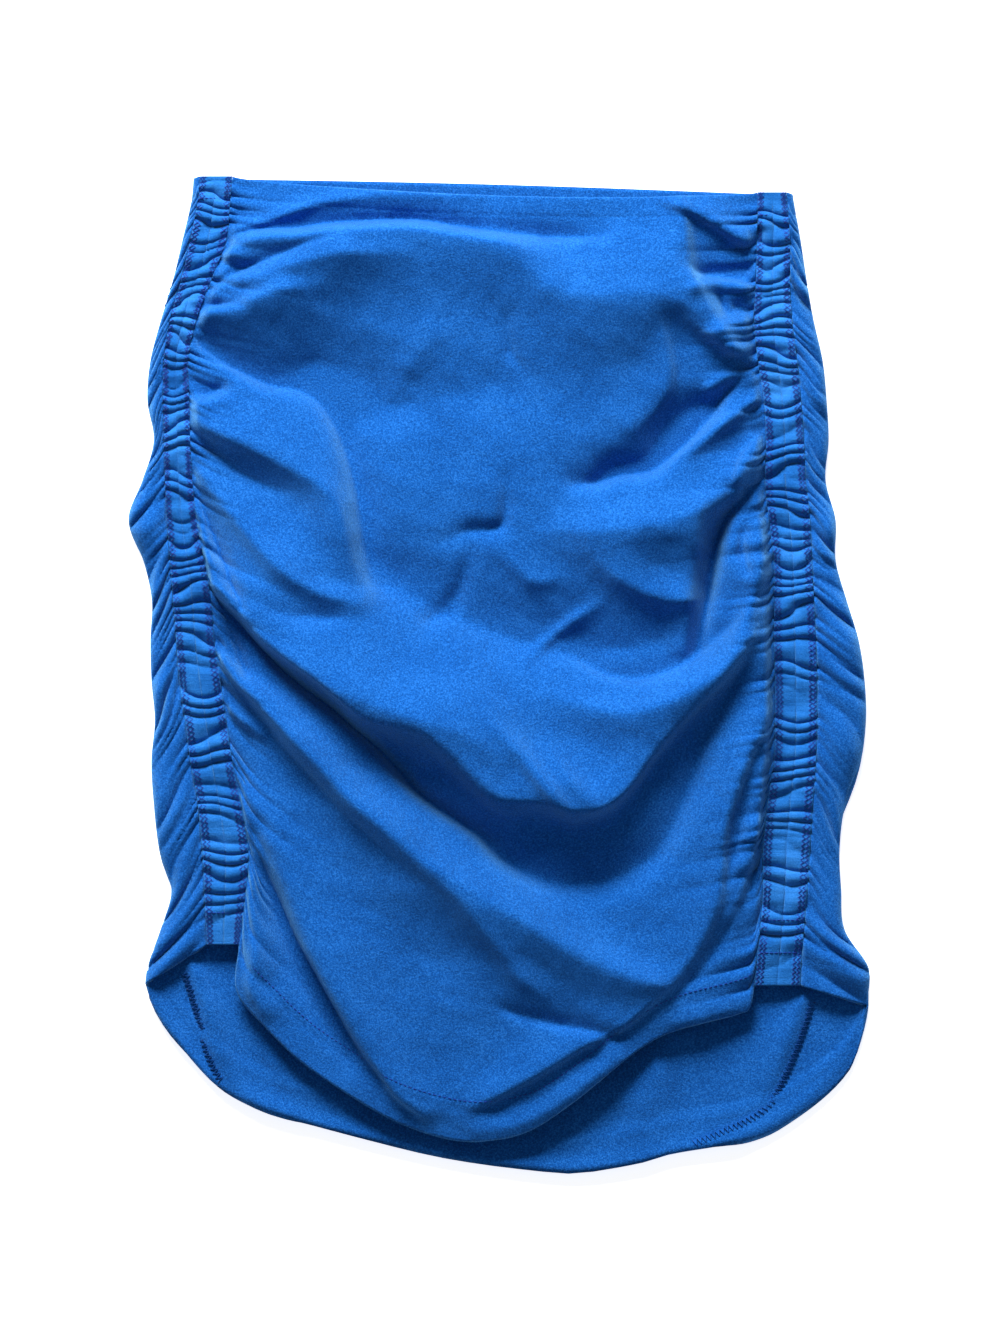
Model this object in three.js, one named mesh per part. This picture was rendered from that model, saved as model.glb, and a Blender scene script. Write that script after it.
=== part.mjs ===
// A ruched mini skirt of brushed jersey, laid flat on its back.
// X runs across the skirt, Y from the hem up to the waist, and Z up from the surface that it lies on.
// Sizes are in millimetres. The origin is on that surface, under the middle of the skirt.
//
// The skirt is a tube of two panels. Each side seam is a gathered band: the seam allowances are stitched
// down over elastic, and draw both panels into ruching. The front panel is longer than the bands, so it
// hangs between them in swags. The back panel comes up round both sides to meet the bands.
import * as THREE from "three";

// Walls and hems
const CLOTH = 1.2; // one layer of brushed jersey
const BAND_WALL = 2.0; // seam band: seam allowances with the elastic between them
const HEM_DEPTH = 14; // turned-in hem at the waist and at the bottom
const HEM_LAYER = 0.8; // what the turned-in layer adds on the inside
const SEAM_GAP = 0.3; // between pieces that are sewn together

// Heights above the surface, at the middle of the wall
const BAND_LEVEL = 6; // seam bands
const MOUTH_LEVEL = 9.4; // front panel at the middle of the waist and of the hem
const BASIN_LEVEL = 13; // front panel between its folds
const LEAST_LEVEL = 4.2; // the deepest crease of the front panel, near its sides
const HOLLOW_LEVEL = 8.4; // the deepest crease over the hollow that stays open for a hand or a body
const HOLLOW_HALF_WIDTH = 88; // that hollow, from its middle to either side
const ROLL_LEVEL = 3.2; // where the back panel turns up round a side

// Ruching
const RIPPLES = 58; // gathers down each band
const BAND_RIPPLE = 0.9; // half the height of a gather on the band
const PANEL_RIPPLE = 1.3; // half the height of a gather where it leaves the band
const RIPPLE_REACH = 9; // how far a gather runs into a panel before it fades
const FLAT_ENDS = 0.035; // share of the band at each end that is not gathered
const TIGHT_TOP = 0.8; // pitch of the gathers at the waist, against their mean

const TURN_UNDER = 7; // how far in from its fold the back panel comes down flat
const HEM_SQUARENESS = 0.6; // how square the hem turns its corners, as a power: 1 is the roundest

// Mesh: rows down the skirt for each ripple, and the steps across each panel
const RIPPLE_ROWS = RIPPLES * 2 + 1;
const HALF_ROWS = RIPPLES + 1;
const PANEL_ROWS = 56;
const SIDE_STEPS = [0, 3.5, 9.5, 17]; // first columns of the front panel, in from its seam
const SIDE_ROWS_DOWN = [RIPPLE_ROWS, RIPPLE_ROWS, HALF_ROWS, PANEL_ROWS];
const FRONT_COLUMNS = 27; // columns of the front panel between those at its sides
const NARROWEST_FOLD = 8; // side of a fold that this mesh can still follow

// The left and right ends of the seam bands at the waist and at the hem
const WAIST_Y = { left: 248, right: 240 };
const BAND_END_Y = { left: -136.5, right: -157 };
// Where the hem turns from the top of the skirt to its underside
const HEM_CORNER_Y = { left: -156, right: -167 };

// Lines down the sides of the skirt, seen from above: where the back panel turns over (fold), and the
// outer and inner edge of each band
const SIDE_LINES = {
  columns: ["y", "leftFold", "leftOuter", "leftInner", "rightInner", "rightOuter", "rightFold"],
  rows: [
    [248, -151.8, -149, -133, 129.5, 143.5, 146],
    [236, -153, -150, -134, 130, 144.5, 147.5],
    [216, -157.5, -154, -136, 129.5, 146, 151],
    [196, -162.3, -158.5, -143.5, 129, 146, 154],
    [176, -168.3, -164, -151, 128, 147, 157.5],
    [156, -173.5, -167, -155, 130, 149.5, 162],
    [136, -175, -167.5, -154.5, 133, 151.5, 164],
    [116, -171.8, -167, -154, 134, 153, 165],
    [96, -177.5, -166.5, -153, 133.5, 154, 163.5],
    [76, -184.5, -165.5, -151, 135.5, 156, 168.5],
    [56, -177, -164, -147, 138, 157, 168.5],
    [36, -172.8, -162.5, -143.5, 138, 158, 174],
    [16, -173.5, -161, -142, 138, 159, 180],
    [-4, -173, -159.5, -139, 138.5, 159.5, 183],
    [-24, -171.3, -156.5, -136, 138.5, 159.5, 183.7],
    [-44, -173, -154, -133, 138, 159, 181],
    [-64, -172, -150.5, -129, 135, 157.5, 173.5],
    [-89, -169, -148, -125, 132.5, 156, 170.5],
    [-109, -163, -147, -126, 132.5, 154.5, 171.3],
    [-129, -168.5, -146, -128.5, 131, 153, 173],
    [-148, -175, -145, -129, 129, 151.5, 185],
    [-160, -176.5, -144.5, -129, 128, 151, 185],
  ],
};

// The hem of the front panel, from the left band to the right one
const FRONT_HEM = {
  columns: ["across", "x", "y"],
  rows: [
    [0, -128, -136.5],
    [0.05, -130, -159],
    [0.11, -117, -176],
    [0.18, -99, -194],
    [0.27, -74, -211.5],
    [0.36, -49, -225.5],
    [0.44, -25, -233.5],
    [0.5, -8, -234.5],
    [0.58, 15, -229.5],
    [0.66, 38.5, -214],
    [0.76, 67, -191],
    [0.84, 86, -180],
    [0.955, 121.5, -170.5],
    [0.985, 125.5, -167],
    [1, 127.5, -157],
  ],
};

// The lower hem of the back panel, from its left fold to its right fold
const BACK_HEM = {
  columns: ["across", "y"],
  rows: [
    [0, -160],
    [0.02, -174],
    [0.06, -193],
    [0.1, -208],
    [0.145, -217],
    [0.19, -223],
    [0.31, -234.5],
    [0.43, -244],
    [0.56, -250.5],
    [0.61, -250.5],
    [0.685, -246],
    [0.727, -241.5],
    [0.81, -236.5],
    [0.86, -232],
    [0.9, -223.5],
    [0.94, -213],
    [0.97, -202],
    [0.987, -191],
    [1, -172],
  ],
};
const WAIST_DIP = { front: 6, back: -1.3 }; // how far each waist edge sags in the middle

// Folds of the front panel. Each row is a point of the crest: x, y, rise, and how far the fold reaches on
// the left and on the right of the crest, for someone who walks along it from the first row. A negative
// rise is a crease. lean pushes the crest over towards its left side, or its right side if negative.
const FRONT_FOLDS = {
  waistLip: {
    lean: 3,
    crest: [[-141, 198, 2, 5, 8], [-134, 213, 5, 5, 12], [-118, 221, 8, 5, 18], [-80, 223, 8, 5, 27],
      [-40, 223, 7, 5, 30], [5, 217.5, 7, 6, 30], [46, 216.5, 4, 7, 26], [75, 224, 1, 8, 18]],
  },
  leftGatherOne: {
    lean: 0,
    crest: [[-150, 188, 3, 5, 6], [-134, 197.5, 5, 5, 7], [-111, 207.5, 5, 5, 8], [-88, 217, 1, 5, 8]],
  },
  leftGatherTwo: {
    lean: 0,
    crest: [[-155, 171, 4, 6, 5], [-146, 180, 7, 6, 5], [-128, 181, 7, 6, 5], [-111, 194, 5, 7, 6],
      [-92, 206, 1, 8, 8]],
  },
  leftHollow: {
    lean: 0,
    crest: [[-152, 166, -3, 5, 5], [-131, 162, -5, 9, 7], [-104, 153.5, -4, 11, 9], [-88, 141, -1, 10, 10]],
  },
  leftShoulder: {
    lean: 0,
    crest: [[-142, 157, 3, 7, 8], [-124, 143, 5, 9, 12], [-106, 121, 6, 10, 16], [-97, 96, 6, 11, 18],
      [-92, 66, 5, 12, 20], [-80, 41, 5, 14, 20], [-59, 17, 4, 16, 18], [-32, 0, 1, 16, 16]],
  },
  upperSwag: {
    lean: -1.5,
    crest: [[-158, 122, 4, 14, 4], [-147, 86, 9, 22, 5], [-130, 46, 12, 30, 6], [-108, 16, 13, 34, 6],
      [-84, -9, 13, 36, 7], [-59, -34, 13, 38, 8], [-34, -54, 12, 38, 11], [1, -68, 11, 36, 14],
      [36, -70, 10, 34, 15], [66, -54, 9, 30, 13], [96, -21.5, 9, 26, 11], [121, 11, 7, 20, 8],
      [132, 41, 3, 14, 7]],
  },
  swagCrease: {
    lean: 0,
    crest: [[-140, 36, -2, 4, 4], [-119, 10, -6, 5, 4], [-99, -8, -7, 5, 5], [-74, -29, -7, 5, 5],
      [-49, -55, -6, 5, 5], [-24, -76, -5, 6, 6], [1, -90, -4, 7, 7], [31, -95, -3, 9, 9],
      [61, -90, -3, 10, 10], [85, -70, -3, 10, 10], [105, -40, -4, 9, 9], [124, -8, -2, 8, 8]],
  },
  middleSwag: {
    lean: 2,
    crest: [[-133, 13, 2, 6, 6], [-122, -5, 6, 7, 9], [-99, -22, 8, 7, 12], [-74, -46.5, 9, 8, 16],
      [-49, -67, 9, 8, 20], [-24, -84.5, 9, 9, 22], [1, -99, 9, 10, 24], [26, -115, 8, 11, 26],
      [51, -130, 7, 13, 26], [76, -144, 5, 15, 24], [93, -152, 2, 14, 16]],
  },
  swagShadow: {
    lean: 0,
    crest: [[-124, -14, -2, 5, 5], [-104, -34, -3, 6, 8], [-84, -59, -4, 8, 12], [-60, -86, -4, 10, 16],
      [-24, -108, -3, 12, 18], [0, -130, -1, 14, 18]],
  },
  lowerSwagLeft: {
    lean: -2.5,
    crest: [[-134, -14, 2, 8, 3], [-131, -44, 4, 14, 3], [-124, -68, 6, 20, 3.5], [-113, -90, 7, 24, 4],
      [-97, -120, 7, 28, 4], [-80, -155, 7, 28, 4], [-62, -190, 6, 26, 4], [-47, -216, 3, 20, 4]],
  },
  lowerLeftCrease: {
    lean: 0,
    crest: [[-114, -97, -3, 4, 6], [-105, -122, -4, 4, 8], [-89, -153, -4, 4, 8], [-72, -188, -2, 4, 8]],
  },
  lowerLeftCorner: {
    lean: 0,
    crest: [[-124, -92, 1, 6, 4], [-125, -122, 3, 9, 4], [-125, -150, 4, 10, 5], [-112, -172, 2, 9, 6]],
  },
  lowerSwagRight: {
    lean: 2.5,
    crest: [[124, -56, 2, 4, 10], [119, -79, 5, 4, 14], [112, -100, 7, 4, 18], [103.5, -124, 8, 4, 22],
      [94, -143, 8, 4, 24], [76, -161.5, 7, 4, 24], [63.5, -174.5, 6, 4, 22], [46, -186.5, 6, 4, 20],
      [23.5, -198.5, 6, 4, 18], [1, -213, 4, 4, 14], [-8, -222, 1, 4, 10]],
  },
  rightUnderfold: {
    lean: 0,
    crest: [[134, -28, 2, 4, 8], [133, -55, 4, 4, 8], [126, -83, 4, 4, 8], [117, -104, 2, 4, 6]],
  },
  rightHollow: {
    lean: 0,
    crest: [[87, 175, -3, 9, 8], [101, 152, -6, 10, 9], [104, 131, -7, 10, 9], [92, 112, -7, 10, 9],
      [71, 102, -6, 9, 8], [51, 98, -4, 8, 8], [36, 104, -1, 8, 9]],
  },
  rightMiddleRidge: {
    lean: 0,
    crest: [[45, 88, 2, 8, 14], [71, 94, 6, 7, 14], [91, 99, 7, 7, 14], [111, 103, 6, 6, 12],
      [129, 113, 3, 5, 9]],
  },
  rightGatherUpper: {
    lean: 0,
    crest: [[130, 146, 4, 5, 4], [116, 150, 4, 5, 5], [103, 145, 1, 6, 6]],
  },
  rightGatherLower: {
    lean: 0,
    crest: [[134, 112, 4, 6, 6], [124, 92, 5, 7, 7], [105, 84, 4, 8, 8], [85, 82, 1, 8, 8]],
  },
  rightWaistRidge: {
    lean: 0,
    crest: [[93.5, 236, 3, 7, 20], [96, 212, 7, 6, 24], [98.5, 191, 6, 6, 22], [107, 175, 5, 6, 14],
      [116, 165, 4, 5, 9], [127, 160, 2, 5, 6]],
  },
  rightDeepCrease: {
    lean: 0,
    crest: [[121, 88, -3, 5, 5], [113.5, 76, -7, 6, 6], [106, 54, -8, 7, 7], [99, 36, -7, 7, 7],
      [96, 20, -3, 7, 7], [92, 8, -1, 7, 7]],
  },
  rightPleat: {
    lean: 0,
    crest: [[135, 82, 3, 5, 6], [127, 66, 5, 7, 7], [122, 41, 5, 8, 8], [118, 16, 2, 9, 9]],
  },
  upperSlope: {
    lean: 0,
    crest: [[5, 190, 1, 20, 20], [35, 184, 4, 20, 22], [65, 186, 4, 18, 20], [85, 196, 1, 14, 16]],
  },
  rightLowerArc: {
    lean: 0,
    crest: [[35, -3, 1, 12, 12], [60, -13, 4, 12, 14], [85, -10, 4, 12, 12], [108, 2, 2, 10, 10]],
  },
  leftTrough: {
    lean: 0,
    crest: [[-158, 118, -2, 5, 5], [-134, 108, -4, 8, 8], [-109, 92, -4, 9, 9], [-89, 86, -1, 9, 9]],
  },
};

// Folds of the back panel where its inside shows below the front hem, in the same columns
const BACK_FOLDS = {
  leftCorner: { lean: 0, crest: [[-150, -150, 2, 7, 7], [-139, -180, 4, 8, 7], [-128, -208, 2, 8, 6]] },
  middle: { lean: 0, crest: [[84, -182, 1, 9, 7], [74, -200, 2.5, 9, 7], [70, -226, 1, 9, 8]] },
  rightCorner: { lean: 0, crest: [[155, -160, 2, 8, 7], [149, -188, 4, 9, 7], [136, -214, 2, 9, 7]] },
};

// Pouches where the back panel bulges between its fold and the band
const POUCHES = [
  { side: "left", y: 76, reach: 14, rise: 2.5 },
  { side: "left", y: -20, reach: 26, rise: 1.5 },
  { side: "left", y: -70, reach: 22, rise: 2 },
  { side: "right", y: 140, reach: 18, rise: 2.5 },
  { side: "right", y: 70, reach: 14, rise: 2 },
  { side: "right", y: 8, reach: 34, rise: 3.5 },
  { side: "right", y: -36, reach: 18, rise: 3 },
  { side: "right", y: -140, reach: 24, rise: 2.5 },
];

const BLUE = new THREE.Color().setRGB(0.02, 0.13, 0.48);
const BAND_BLUE = new THREE.Color().setRGB(0.04, 0.17, 0.54);

const mix = (a, b, t) => a + (b - a) * t;
const clamp = (x, low, high) => Math.min(high, Math.max(low, x));
const step = (t) => {
  const x = clamp(t, 0, 1);
  return x * x * (3 - 2 * x);
};

// Reads one column of a table at a value of its first column, as a smooth curve through the rows.
function curveOf(table, name) {
  const column = table.columns.indexOf(name);
  const down = table.rows[0][0] > table.rows[1][0];
  const rows = down ? [...table.rows].reverse() : table.rows;
  const slopes = rows.map((row, i) => {
    const before = rows[Math.max(0, i - 1)];
    const after = rows[Math.min(rows.length - 1, i + 1)];
    return (after[column] - before[column]) / (after[0] - before[0]);
  });
  return (at) => {
    const t = clamp(at, rows[0][0], rows[rows.length - 1][0]);
    const i = clamp(rows.findIndex((row) => row[0] >= t) - 1, 0, rows.length - 2);
    const length = rows[i + 1][0] - rows[i][0];
    const q = (t - rows[i][0]) / length;
    return (
      rows[i][column] * (1 + 2 * q) * (1 - q) ** 2 +
      slopes[i] * length * q * (1 - q) ** 2 +
      rows[i + 1][column] * q * q * (3 - 2 * q) +
      slopes[i + 1] * length * q * q * (q - 1)
    );
  };
}

const sideLine = Object.fromEntries(
  SIDE_LINES.columns.slice(1).map((name) => [name, curveOf(SIDE_LINES, name)]),
);
const hemX = curveOf(FRONT_HEM, "x");
const hemY = curveOf(FRONT_HEM, "y");
const backHemY = curveOf(BACK_HEM, "y");

// The share of a seam's length at a share v of its gathers: they are closer together at the waist.
const lengthShare = (v) => TIGHT_TOP * v + (1 - TIGHT_TOP) * v * v;
const seamY = (side, v) => mix(WAIST_Y[side], BAND_END_Y[side], lengthShare(v));
const foldY = (side, v) => mix(WAIST_Y[side] - 1, HEM_CORNER_Y[side], lengthShare(v));

// Height of the gathers at a share v down a seam, from -1 to 1. Odd rows are crests.
function ripple(v, side) {
  const turn = v * RIPPLES;
  const uneven = 0.78 + 0.3 * Math.sin(turn * 1.7 + (side === "left" ? 0 : 2));
  const ends = step(v / FLAT_ENDS) * step((1 - v) / (2 * FLAT_ENDS));
  return -Math.cos(2 * Math.PI * turn) * uneven * ends;
}

// A fold's crest as short straight pieces, each with its rise and reaches.
function samplesOf(fold) {
  const path = new THREE.CatmullRomCurve3(
    fold.crest.map(([x, y]) => new THREE.Vector3(x, y, 0)),
    false,
    "centripetal",
  );
  const spans = fold.crest.length - 1;
  const pieces = spans * 4;
  return Array.from({ length: pieces + 1 }, (_, i) => {
    const t = i / pieces;
    const p = path.getPoint(t);
    const span = Math.min(spans - 1, Math.floor(t * spans));
    const [, , ...from] = fold.crest[span];
    const [, , ...to] = fold.crest[span + 1];
    return { x: p.x, y: p.y, sizes: from.map((value, k) => mix(value, to[k], t * spans - span)) };
  });
}

const withSamples = (folds) =>
  Object.values(folds).map((fold) => ({ lean: fold.lean, samples: samplesOf(fold) }));
const frontFolds = withSamples(FRONT_FOLDS);
const backFolds = withSamples(BACK_FOLDS);

// What one fold adds at a point: its height there, and how far it pushes the cloth sideways.
function foldAt(fold, x, y) {
  let nearest = { distance: Infinity };
  for (let i = 0; i + 1 < fold.samples.length; i += 1) {
    const a = fold.samples[i];
    const b = fold.samples[i + 1];
    const along = [b.x - a.x, b.y - a.y];
    const length = Math.hypot(...along);
    const t = clamp(((x - a.x) * along[0] + (y - a.y) * along[1]) / length ** 2, 0, 1);
    const off = [x - mix(a.x, b.x, t), y - mix(a.y, b.y, t)];
    const distance = Math.hypot(...off);
    if (distance < nearest.distance) {
      const sideways = (along[0] * off[1] - along[1] * off[0]) / length;
      const normal = [-along[1] / length, along[0] / length];
      nearest = { distance, sideways, normal, sizes: a.sizes.map((s, k) => mix(s, b.sizes[k], t)) };
    }
  }
  const [rise, left, right] = nearest.sizes;
  const side = nearest.distance > 0 ? nearest.sideways / nearest.distance : 0;
  const reach = Math.max(NARROWEST_FOLD, mix(right, left, 0.5 + 0.5 * side));
  const height = rise * Math.exp(-((nearest.distance / reach) ** 2));
  const most = Math.max(...fold.samples.map((s) => Math.abs(s.sizes[0])));
  const push = (fold.lean * height) / most;
  return { height, push: [push * nearest.normal[0], push * nearest.normal[1]] };
}

function foldsAt(folds, x, y) {
  const sum = { height: 0, push: [0, 0] };
  for (const fold of folds) {
    const { height, push } = foldAt(fold, x, y);
    sum.height += height;
    sum.push[0] += push[0];
    sum.push[1] += push[1];
  }
  return sum;
}

// A point of the front panel, at a share u across and v down it, on the middle of its wall.
function frontPoint(u, v) {
  const left = { x: sideLine.leftInner(seamY("left", v)) + SEAM_GAP, y: seamY("left", v) };
  const right = { x: sideLine.rightInner(seamY("right", v)) - SEAM_GAP, y: seamY("right", v) };
  const sag = WAIST_DIP.front * Math.sin(Math.PI * u) ** 0.6;
  // The four edges, spread over the panel. The hem spreads sideways only low down, below the bands.
  const spread = hemX(u) - mix(hemX(0), hemX(1), u);
  const x0 = mix(left.x, right.x, u) + spread * v ** 9;
  const hemDrop = hemY(u) - mix(BAND_END_Y.left, BAND_END_Y.right, u);
  const down = lengthShare(v);
  const y0 = mix(left.y, right.y, u) - sag * (1 - down) + hemDrop * down ** 1.15;

  const width = right.x - left.x;
  const inward = Math.min(u, 1 - u) * width;
  const side = u < 0.5 ? "left" : "right";
  const swell = 1 - Math.exp(-((inward / 20) ** 1.5));
  const belly = Math.sin(Math.PI * clamp(v, 0, 1)) ** 0.6;
  const base = BAND_LEVEL + swell * (mix(MOUTH_LEVEL, BASIN_LEVEL, belly) - BAND_LEVEL);

  const free = step(inward / 8);
  const folds = foldsAt(frontFolds, x0, y0);
  const gathers = PANEL_RIPPLE * ripple(v, side) * Math.exp(-inward / RIPPLE_REACH);
  const raw = base + folds.height * free + gathers;

  // Creases stop above the back panel, and higher still over the open hollow.
  const over = step((HOLLOW_HALF_WIDTH + 22 - Math.abs(x0)) / 22);
  const least = mix(LEAST_LEVEL, HOLLOW_LEVEL, over);
  const above = raw - least;
  const z = least + 0.5 * (above + Math.hypot(above, 1.2));
  return new THREE.Vector3(x0 + folds.push[0] * free, y0 + folds.push[1] * free, z);
}


// Underneath, the back panel lies flat on the surface.
function backFloorPoint(across, v) {
  const leftX = sideLine.leftFold(foldY("left", v)) + TURN_UNDER;
  const rightX = sideLine.rightFold(foldY("right", v)) - TURN_UNDER;
  const x = mix(leftX, rightX, across);
  const fullAcross = clamp((x - leftX + TURN_UNDER) / (rightX - leftX + 2 * TURN_UNDER), 0, 1);
  const top = mix(WAIST_Y.left, WAIST_Y.right, across) - 1 - WAIST_DIP.back * Math.sin(Math.PI * across);
  const y = mix(top, backHemY(fullAcross), lengthShare(v));
  const lift = foldsAt(backFolds, x, y).height * step(v / 0.5);
  return new THREE.Vector3(x, y, CLOTH / 2 + lift);
}

// Beside a band, the back panel comes up from the surface, turns over at its fold and meets the band.
// around is 0 at the band, 1 at the fold and 2 where it comes down flat.
function backSidePoint(side, around, v) {
  const out = side === "left" ? -1 : 1;
  const bandY = seamY(side, v);
  const turnY = foldY(side, v);
  const bandX = sideLine[side + "Outer"](bandY) + out * SEAM_GAP;
  const foldX = sideLine[side + "Fold"](turnY);
  const floor = backFloorPoint(side === "left" ? 0 : 1, v);
  const angle = (around * Math.PI) / 2;
  if (around > 1) {
    const share = 1 - Math.sin(angle);
    return new THREE.Vector3(
      mix(foldX, floor.x, share),
      mix(turnY, floor.y, share ** HEM_SQUARENESS),
      floor.z + (ROLL_LEVEL - floor.z) * (1 + Math.cos(angle)) * (1 - share * share) ** 0.5,
    );
  }
  const share = Math.sin(angle);
  const x = mix(bandX, foldX, share);
  const y = mix(bandY, turnY, share);
  const distance = Math.abs(x - bandX);
  const gathers =
    PANEL_RIPPLE * ripple(v, side) * Math.exp(-distance / RIPPLE_REACH) * (1 - share * share);
  const pouches = POUCHES.filter((pouch) => pouch.side === side)
    .map((pouch) => pouch.rise * Math.exp(-(((y - pouch.y) / pouch.reach) ** 2)))
    .reduce((a, b) => a + b, 0);
  const z = ROLL_LEVEL + (BAND_LEVEL - ROLL_LEVEL) * Math.cos(angle) + gathers;
  return new THREE.Vector3(x, y, z + pouches * Math.sin(2 * angle));
}

// A point of a seam band, at a share across it from the left and v down it.
function bandPoint(side, across, v) {
  const y = seamY(side, v);
  const [from, to] = side === "left" ? ["leftOuter", "leftInner"] : ["rightInner", "rightOuter"];
  const x = mix(sideLine[from](y), sideLine[to](y), across);
  return new THREE.Vector3(x, y, BAND_LEVEL + BAND_RIPPLE * ripple(v, side));
}

// The outward direction of a surface at a share u across and v down it. Along a seam the rim stands
// upright, so that the pieces on both sides of it keep their distance.
function normalOf(point, u, v) {
  const nudge = 2e-3;
  const down = point(u, Math.min(1, v + nudge)).sub(point(u, Math.max(0, v - nudge)));
  const atSeam = u === 0 || u === 1;
  const across = atSeam
    ? new THREE.Vector3(-down.y, down.x, 0)
    : point(Math.min(1, u + nudge), v).sub(point(Math.max(0, u - nudge), v));
  return down.cross(across).normalize();
}

// Two columns of vertex numbers with their shares down the panel, joined by triangles.
function zip(a, b, faces) {
  let i = 0;
  let j = 0;
  while (i + 1 < a.length || j + 1 < b.length) {
    const nextA = i + 1 < a.length ? a[i + 1].v : Infinity;
    const nextB = j + 1 < b.length ? b[j + 1].v : Infinity;
    if (nextA <= nextB) {
      faces.push([a[i].n, a[i + 1].n, b[j].n]);
      i += 1;
    } else {
      faces.push([a[i].n, b[j + 1].n, b[j].n]);
      j += 1;
    }
  }
}

// A closed wall round the middle surface that point gives. columns lists where each column of vertices
// lies across the surface and how many rows it has. hemmed walls are thicker inside near both ends.
function wall(name, point, columns, { thick = CLOTH, hemmed = true, color = BLUE }) {
  const positions = [];
  const outer = [];
  const inner = [];
  for (const { u, rows } of columns) {
    const out = [];
    const back = [];
    const length = point(u, 0).distanceTo(point(u, 1));
    for (let i = 0; i < rows; i += 1) {
      const v = i / (rows - 1);
      const middle = point(u, v);
      const normal = normalOf(point, u, v);
      const toEdge = Math.min(v, 1 - v) * length;
      const extra = hemmed ? HEM_LAYER * step((HEM_DEPTH + 3 - toEdge) / 3) : 0;
      const face = middle.clone().addScaledVector(normal, thick / 2);
      const lining = middle.clone().addScaledVector(normal, -thick / 2 - extra);
      for (const [p, list] of [[face, out], [lining, back]]) {
        list.push({ n: positions.length / 3, v });
        positions.push(p.x, p.y, Math.max(0, p.z));
      }
    }
    outer.push(out);
    inner.push(back);
  }
  const faces = [];
  for (let c = 0; c + 1 < columns.length; c += 1) {
    zip(outer[c], outer[c + 1], faces);
    const inside = [];
    zip(inner[c], inner[c + 1], inside);
    faces.push(...inside.map(([p, q, r]) => [p, r, q]));
    // The rims along the waist end and the hem end of the wall.
    for (const [row, order] of [[() => 0, 1], [(list) => list.length - 1, -1]]) {
      const [p, q] = [outer[c][row(outer[c])].n, outer[c + 1][row(outer[c + 1])].n];
      const [r, s] = [inner[c][row(inner[c])].n, inner[c + 1][row(inner[c + 1])].n];
      faces.push(...(order > 0 ? [[p, q, r], [q, s, r]] : [[p, r, q], [q, r, s]]));
    }
  }
  // The rims along the two side edges.
  for (const [c, order] of [[0, 1], [columns.length - 1, -1]]) {
    for (let i = 0; i + 1 < outer[c].length; i += 1) {
      const [p, q] = [outer[c][i].n, outer[c][i + 1].n];
      const [r, s] = [inner[c][i].n, inner[c][i + 1].n];
      faces.push(...(order > 0 ? [[p, r, q], [q, r, s]] : [[p, q, r], [q, s, r]]));
    }
  }
  const geometry = new THREE.BufferGeometry();
  geometry.setAttribute("position", new THREE.Float32BufferAttribute(positions, 3));
  geometry.setIndex(faces.flat());
  geometry.computeVertexNormals();
  const material = new THREE.MeshStandardMaterial({ color, roughness: 0.92, metalness: 0 });
  const mesh = new THREE.Mesh(geometry, material);
  mesh.name = name;
  return mesh;
}

function frontPanel() {
  const width = sideLine.rightInner(0) - sideLine.leftInner(0);
  const left = SIDE_STEPS.map((inward, i) => ({ u: inward / width, rows: SIDE_ROWS_DOWN[i] }));
  const right = left.map(({ u, rows }) => ({ u: 1 - u, rows })).reverse();
  const [from, to] = [left[left.length - 1].u, right[0].u];
  const middle = Array.from({ length: FRONT_COLUMNS }, (_, i) => ({
    u: mix(from, to, (i + 1) / (FRONT_COLUMNS + 1)),
    rows: PANEL_ROWS,
  }));
  return wall("front_panel", frontPoint, [...left, ...middle, ...right], {});
}

// The back panel is one surface from the left band, round underneath, to the right band. Its share
// across runs from 0 to 1, and SIDE_SHARE of that at each end is the part beside a band.
const SIDE_SHARE = 0.25;
function backPoint(u, v) {
  if (u < SIDE_SHARE) return backSidePoint("left", (2 * u) / SIDE_SHARE, v);
  if (u > 1 - SIDE_SHARE) return backSidePoint("right", (2 * (1 - u)) / SIDE_SHARE, v);
  return backFloorPoint((u - SIDE_SHARE) / (1 - 2 * SIDE_SHARE), v);
}

function backPanel() {
  const beside = [
    { around: 0, rows: RIPPLE_ROWS },
    { around: 0.3, rows: RIPPLE_ROWS },
    { around: 0.65, rows: HALF_ROWS },
    { around: 1, rows: HALF_ROWS },
    { around: 1.4, rows: 40 },
    { around: 1.75, rows: 34 },
  ];
  const left = beside.map(({ around, rows }) => ({ u: (around / 2) * SIDE_SHARE, rows }));
  const right = left.map(({ u, rows }) => ({ u: 1 - u, rows })).reverse();
  const floor = [0, 0.03, 0.08, 0.16, 0.27, 0.4, 0.53, 0.66, 0.78, 0.87, 0.93, 0.97, 1].map((across) => ({
    u: mix(SIDE_SHARE, 1 - SIDE_SHARE, across),
    rows: 30,
  }));
  // Seen from outside, the share across runs the other way on the back.
  const flipped = (u, v) => backPoint(1 - u, v);
  return wall("back_panel", flipped, [...left, ...floor, ...right], {});
}

function seamBand(side) {
  const columns = [0, 0.5, 1].map((u) => ({ u, rows: RIPPLE_ROWS }));
  const options = { thick: BAND_WALL, hemmed: false, color: BAND_BLUE };
  return wall("seam_band_" + side, (u, v) => bandPoint(side, u, v), columns, options);
}

const skirt = new THREE.Group();
skirt.add(frontPanel(), backPanel(), seamBand("left"), seamBand("right"));

export default skirt;
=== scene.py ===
"""Looks of the ruched mini skirt: detailed cloth, stitching, materials, light and camera.

The skirt lies flat on its back. X runs across it, Y from the hem up to the waist, and Z up.
Sizes of the skirt are in millimetres until each mesh is made. The floor, light and camera are in metres.
"""

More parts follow.
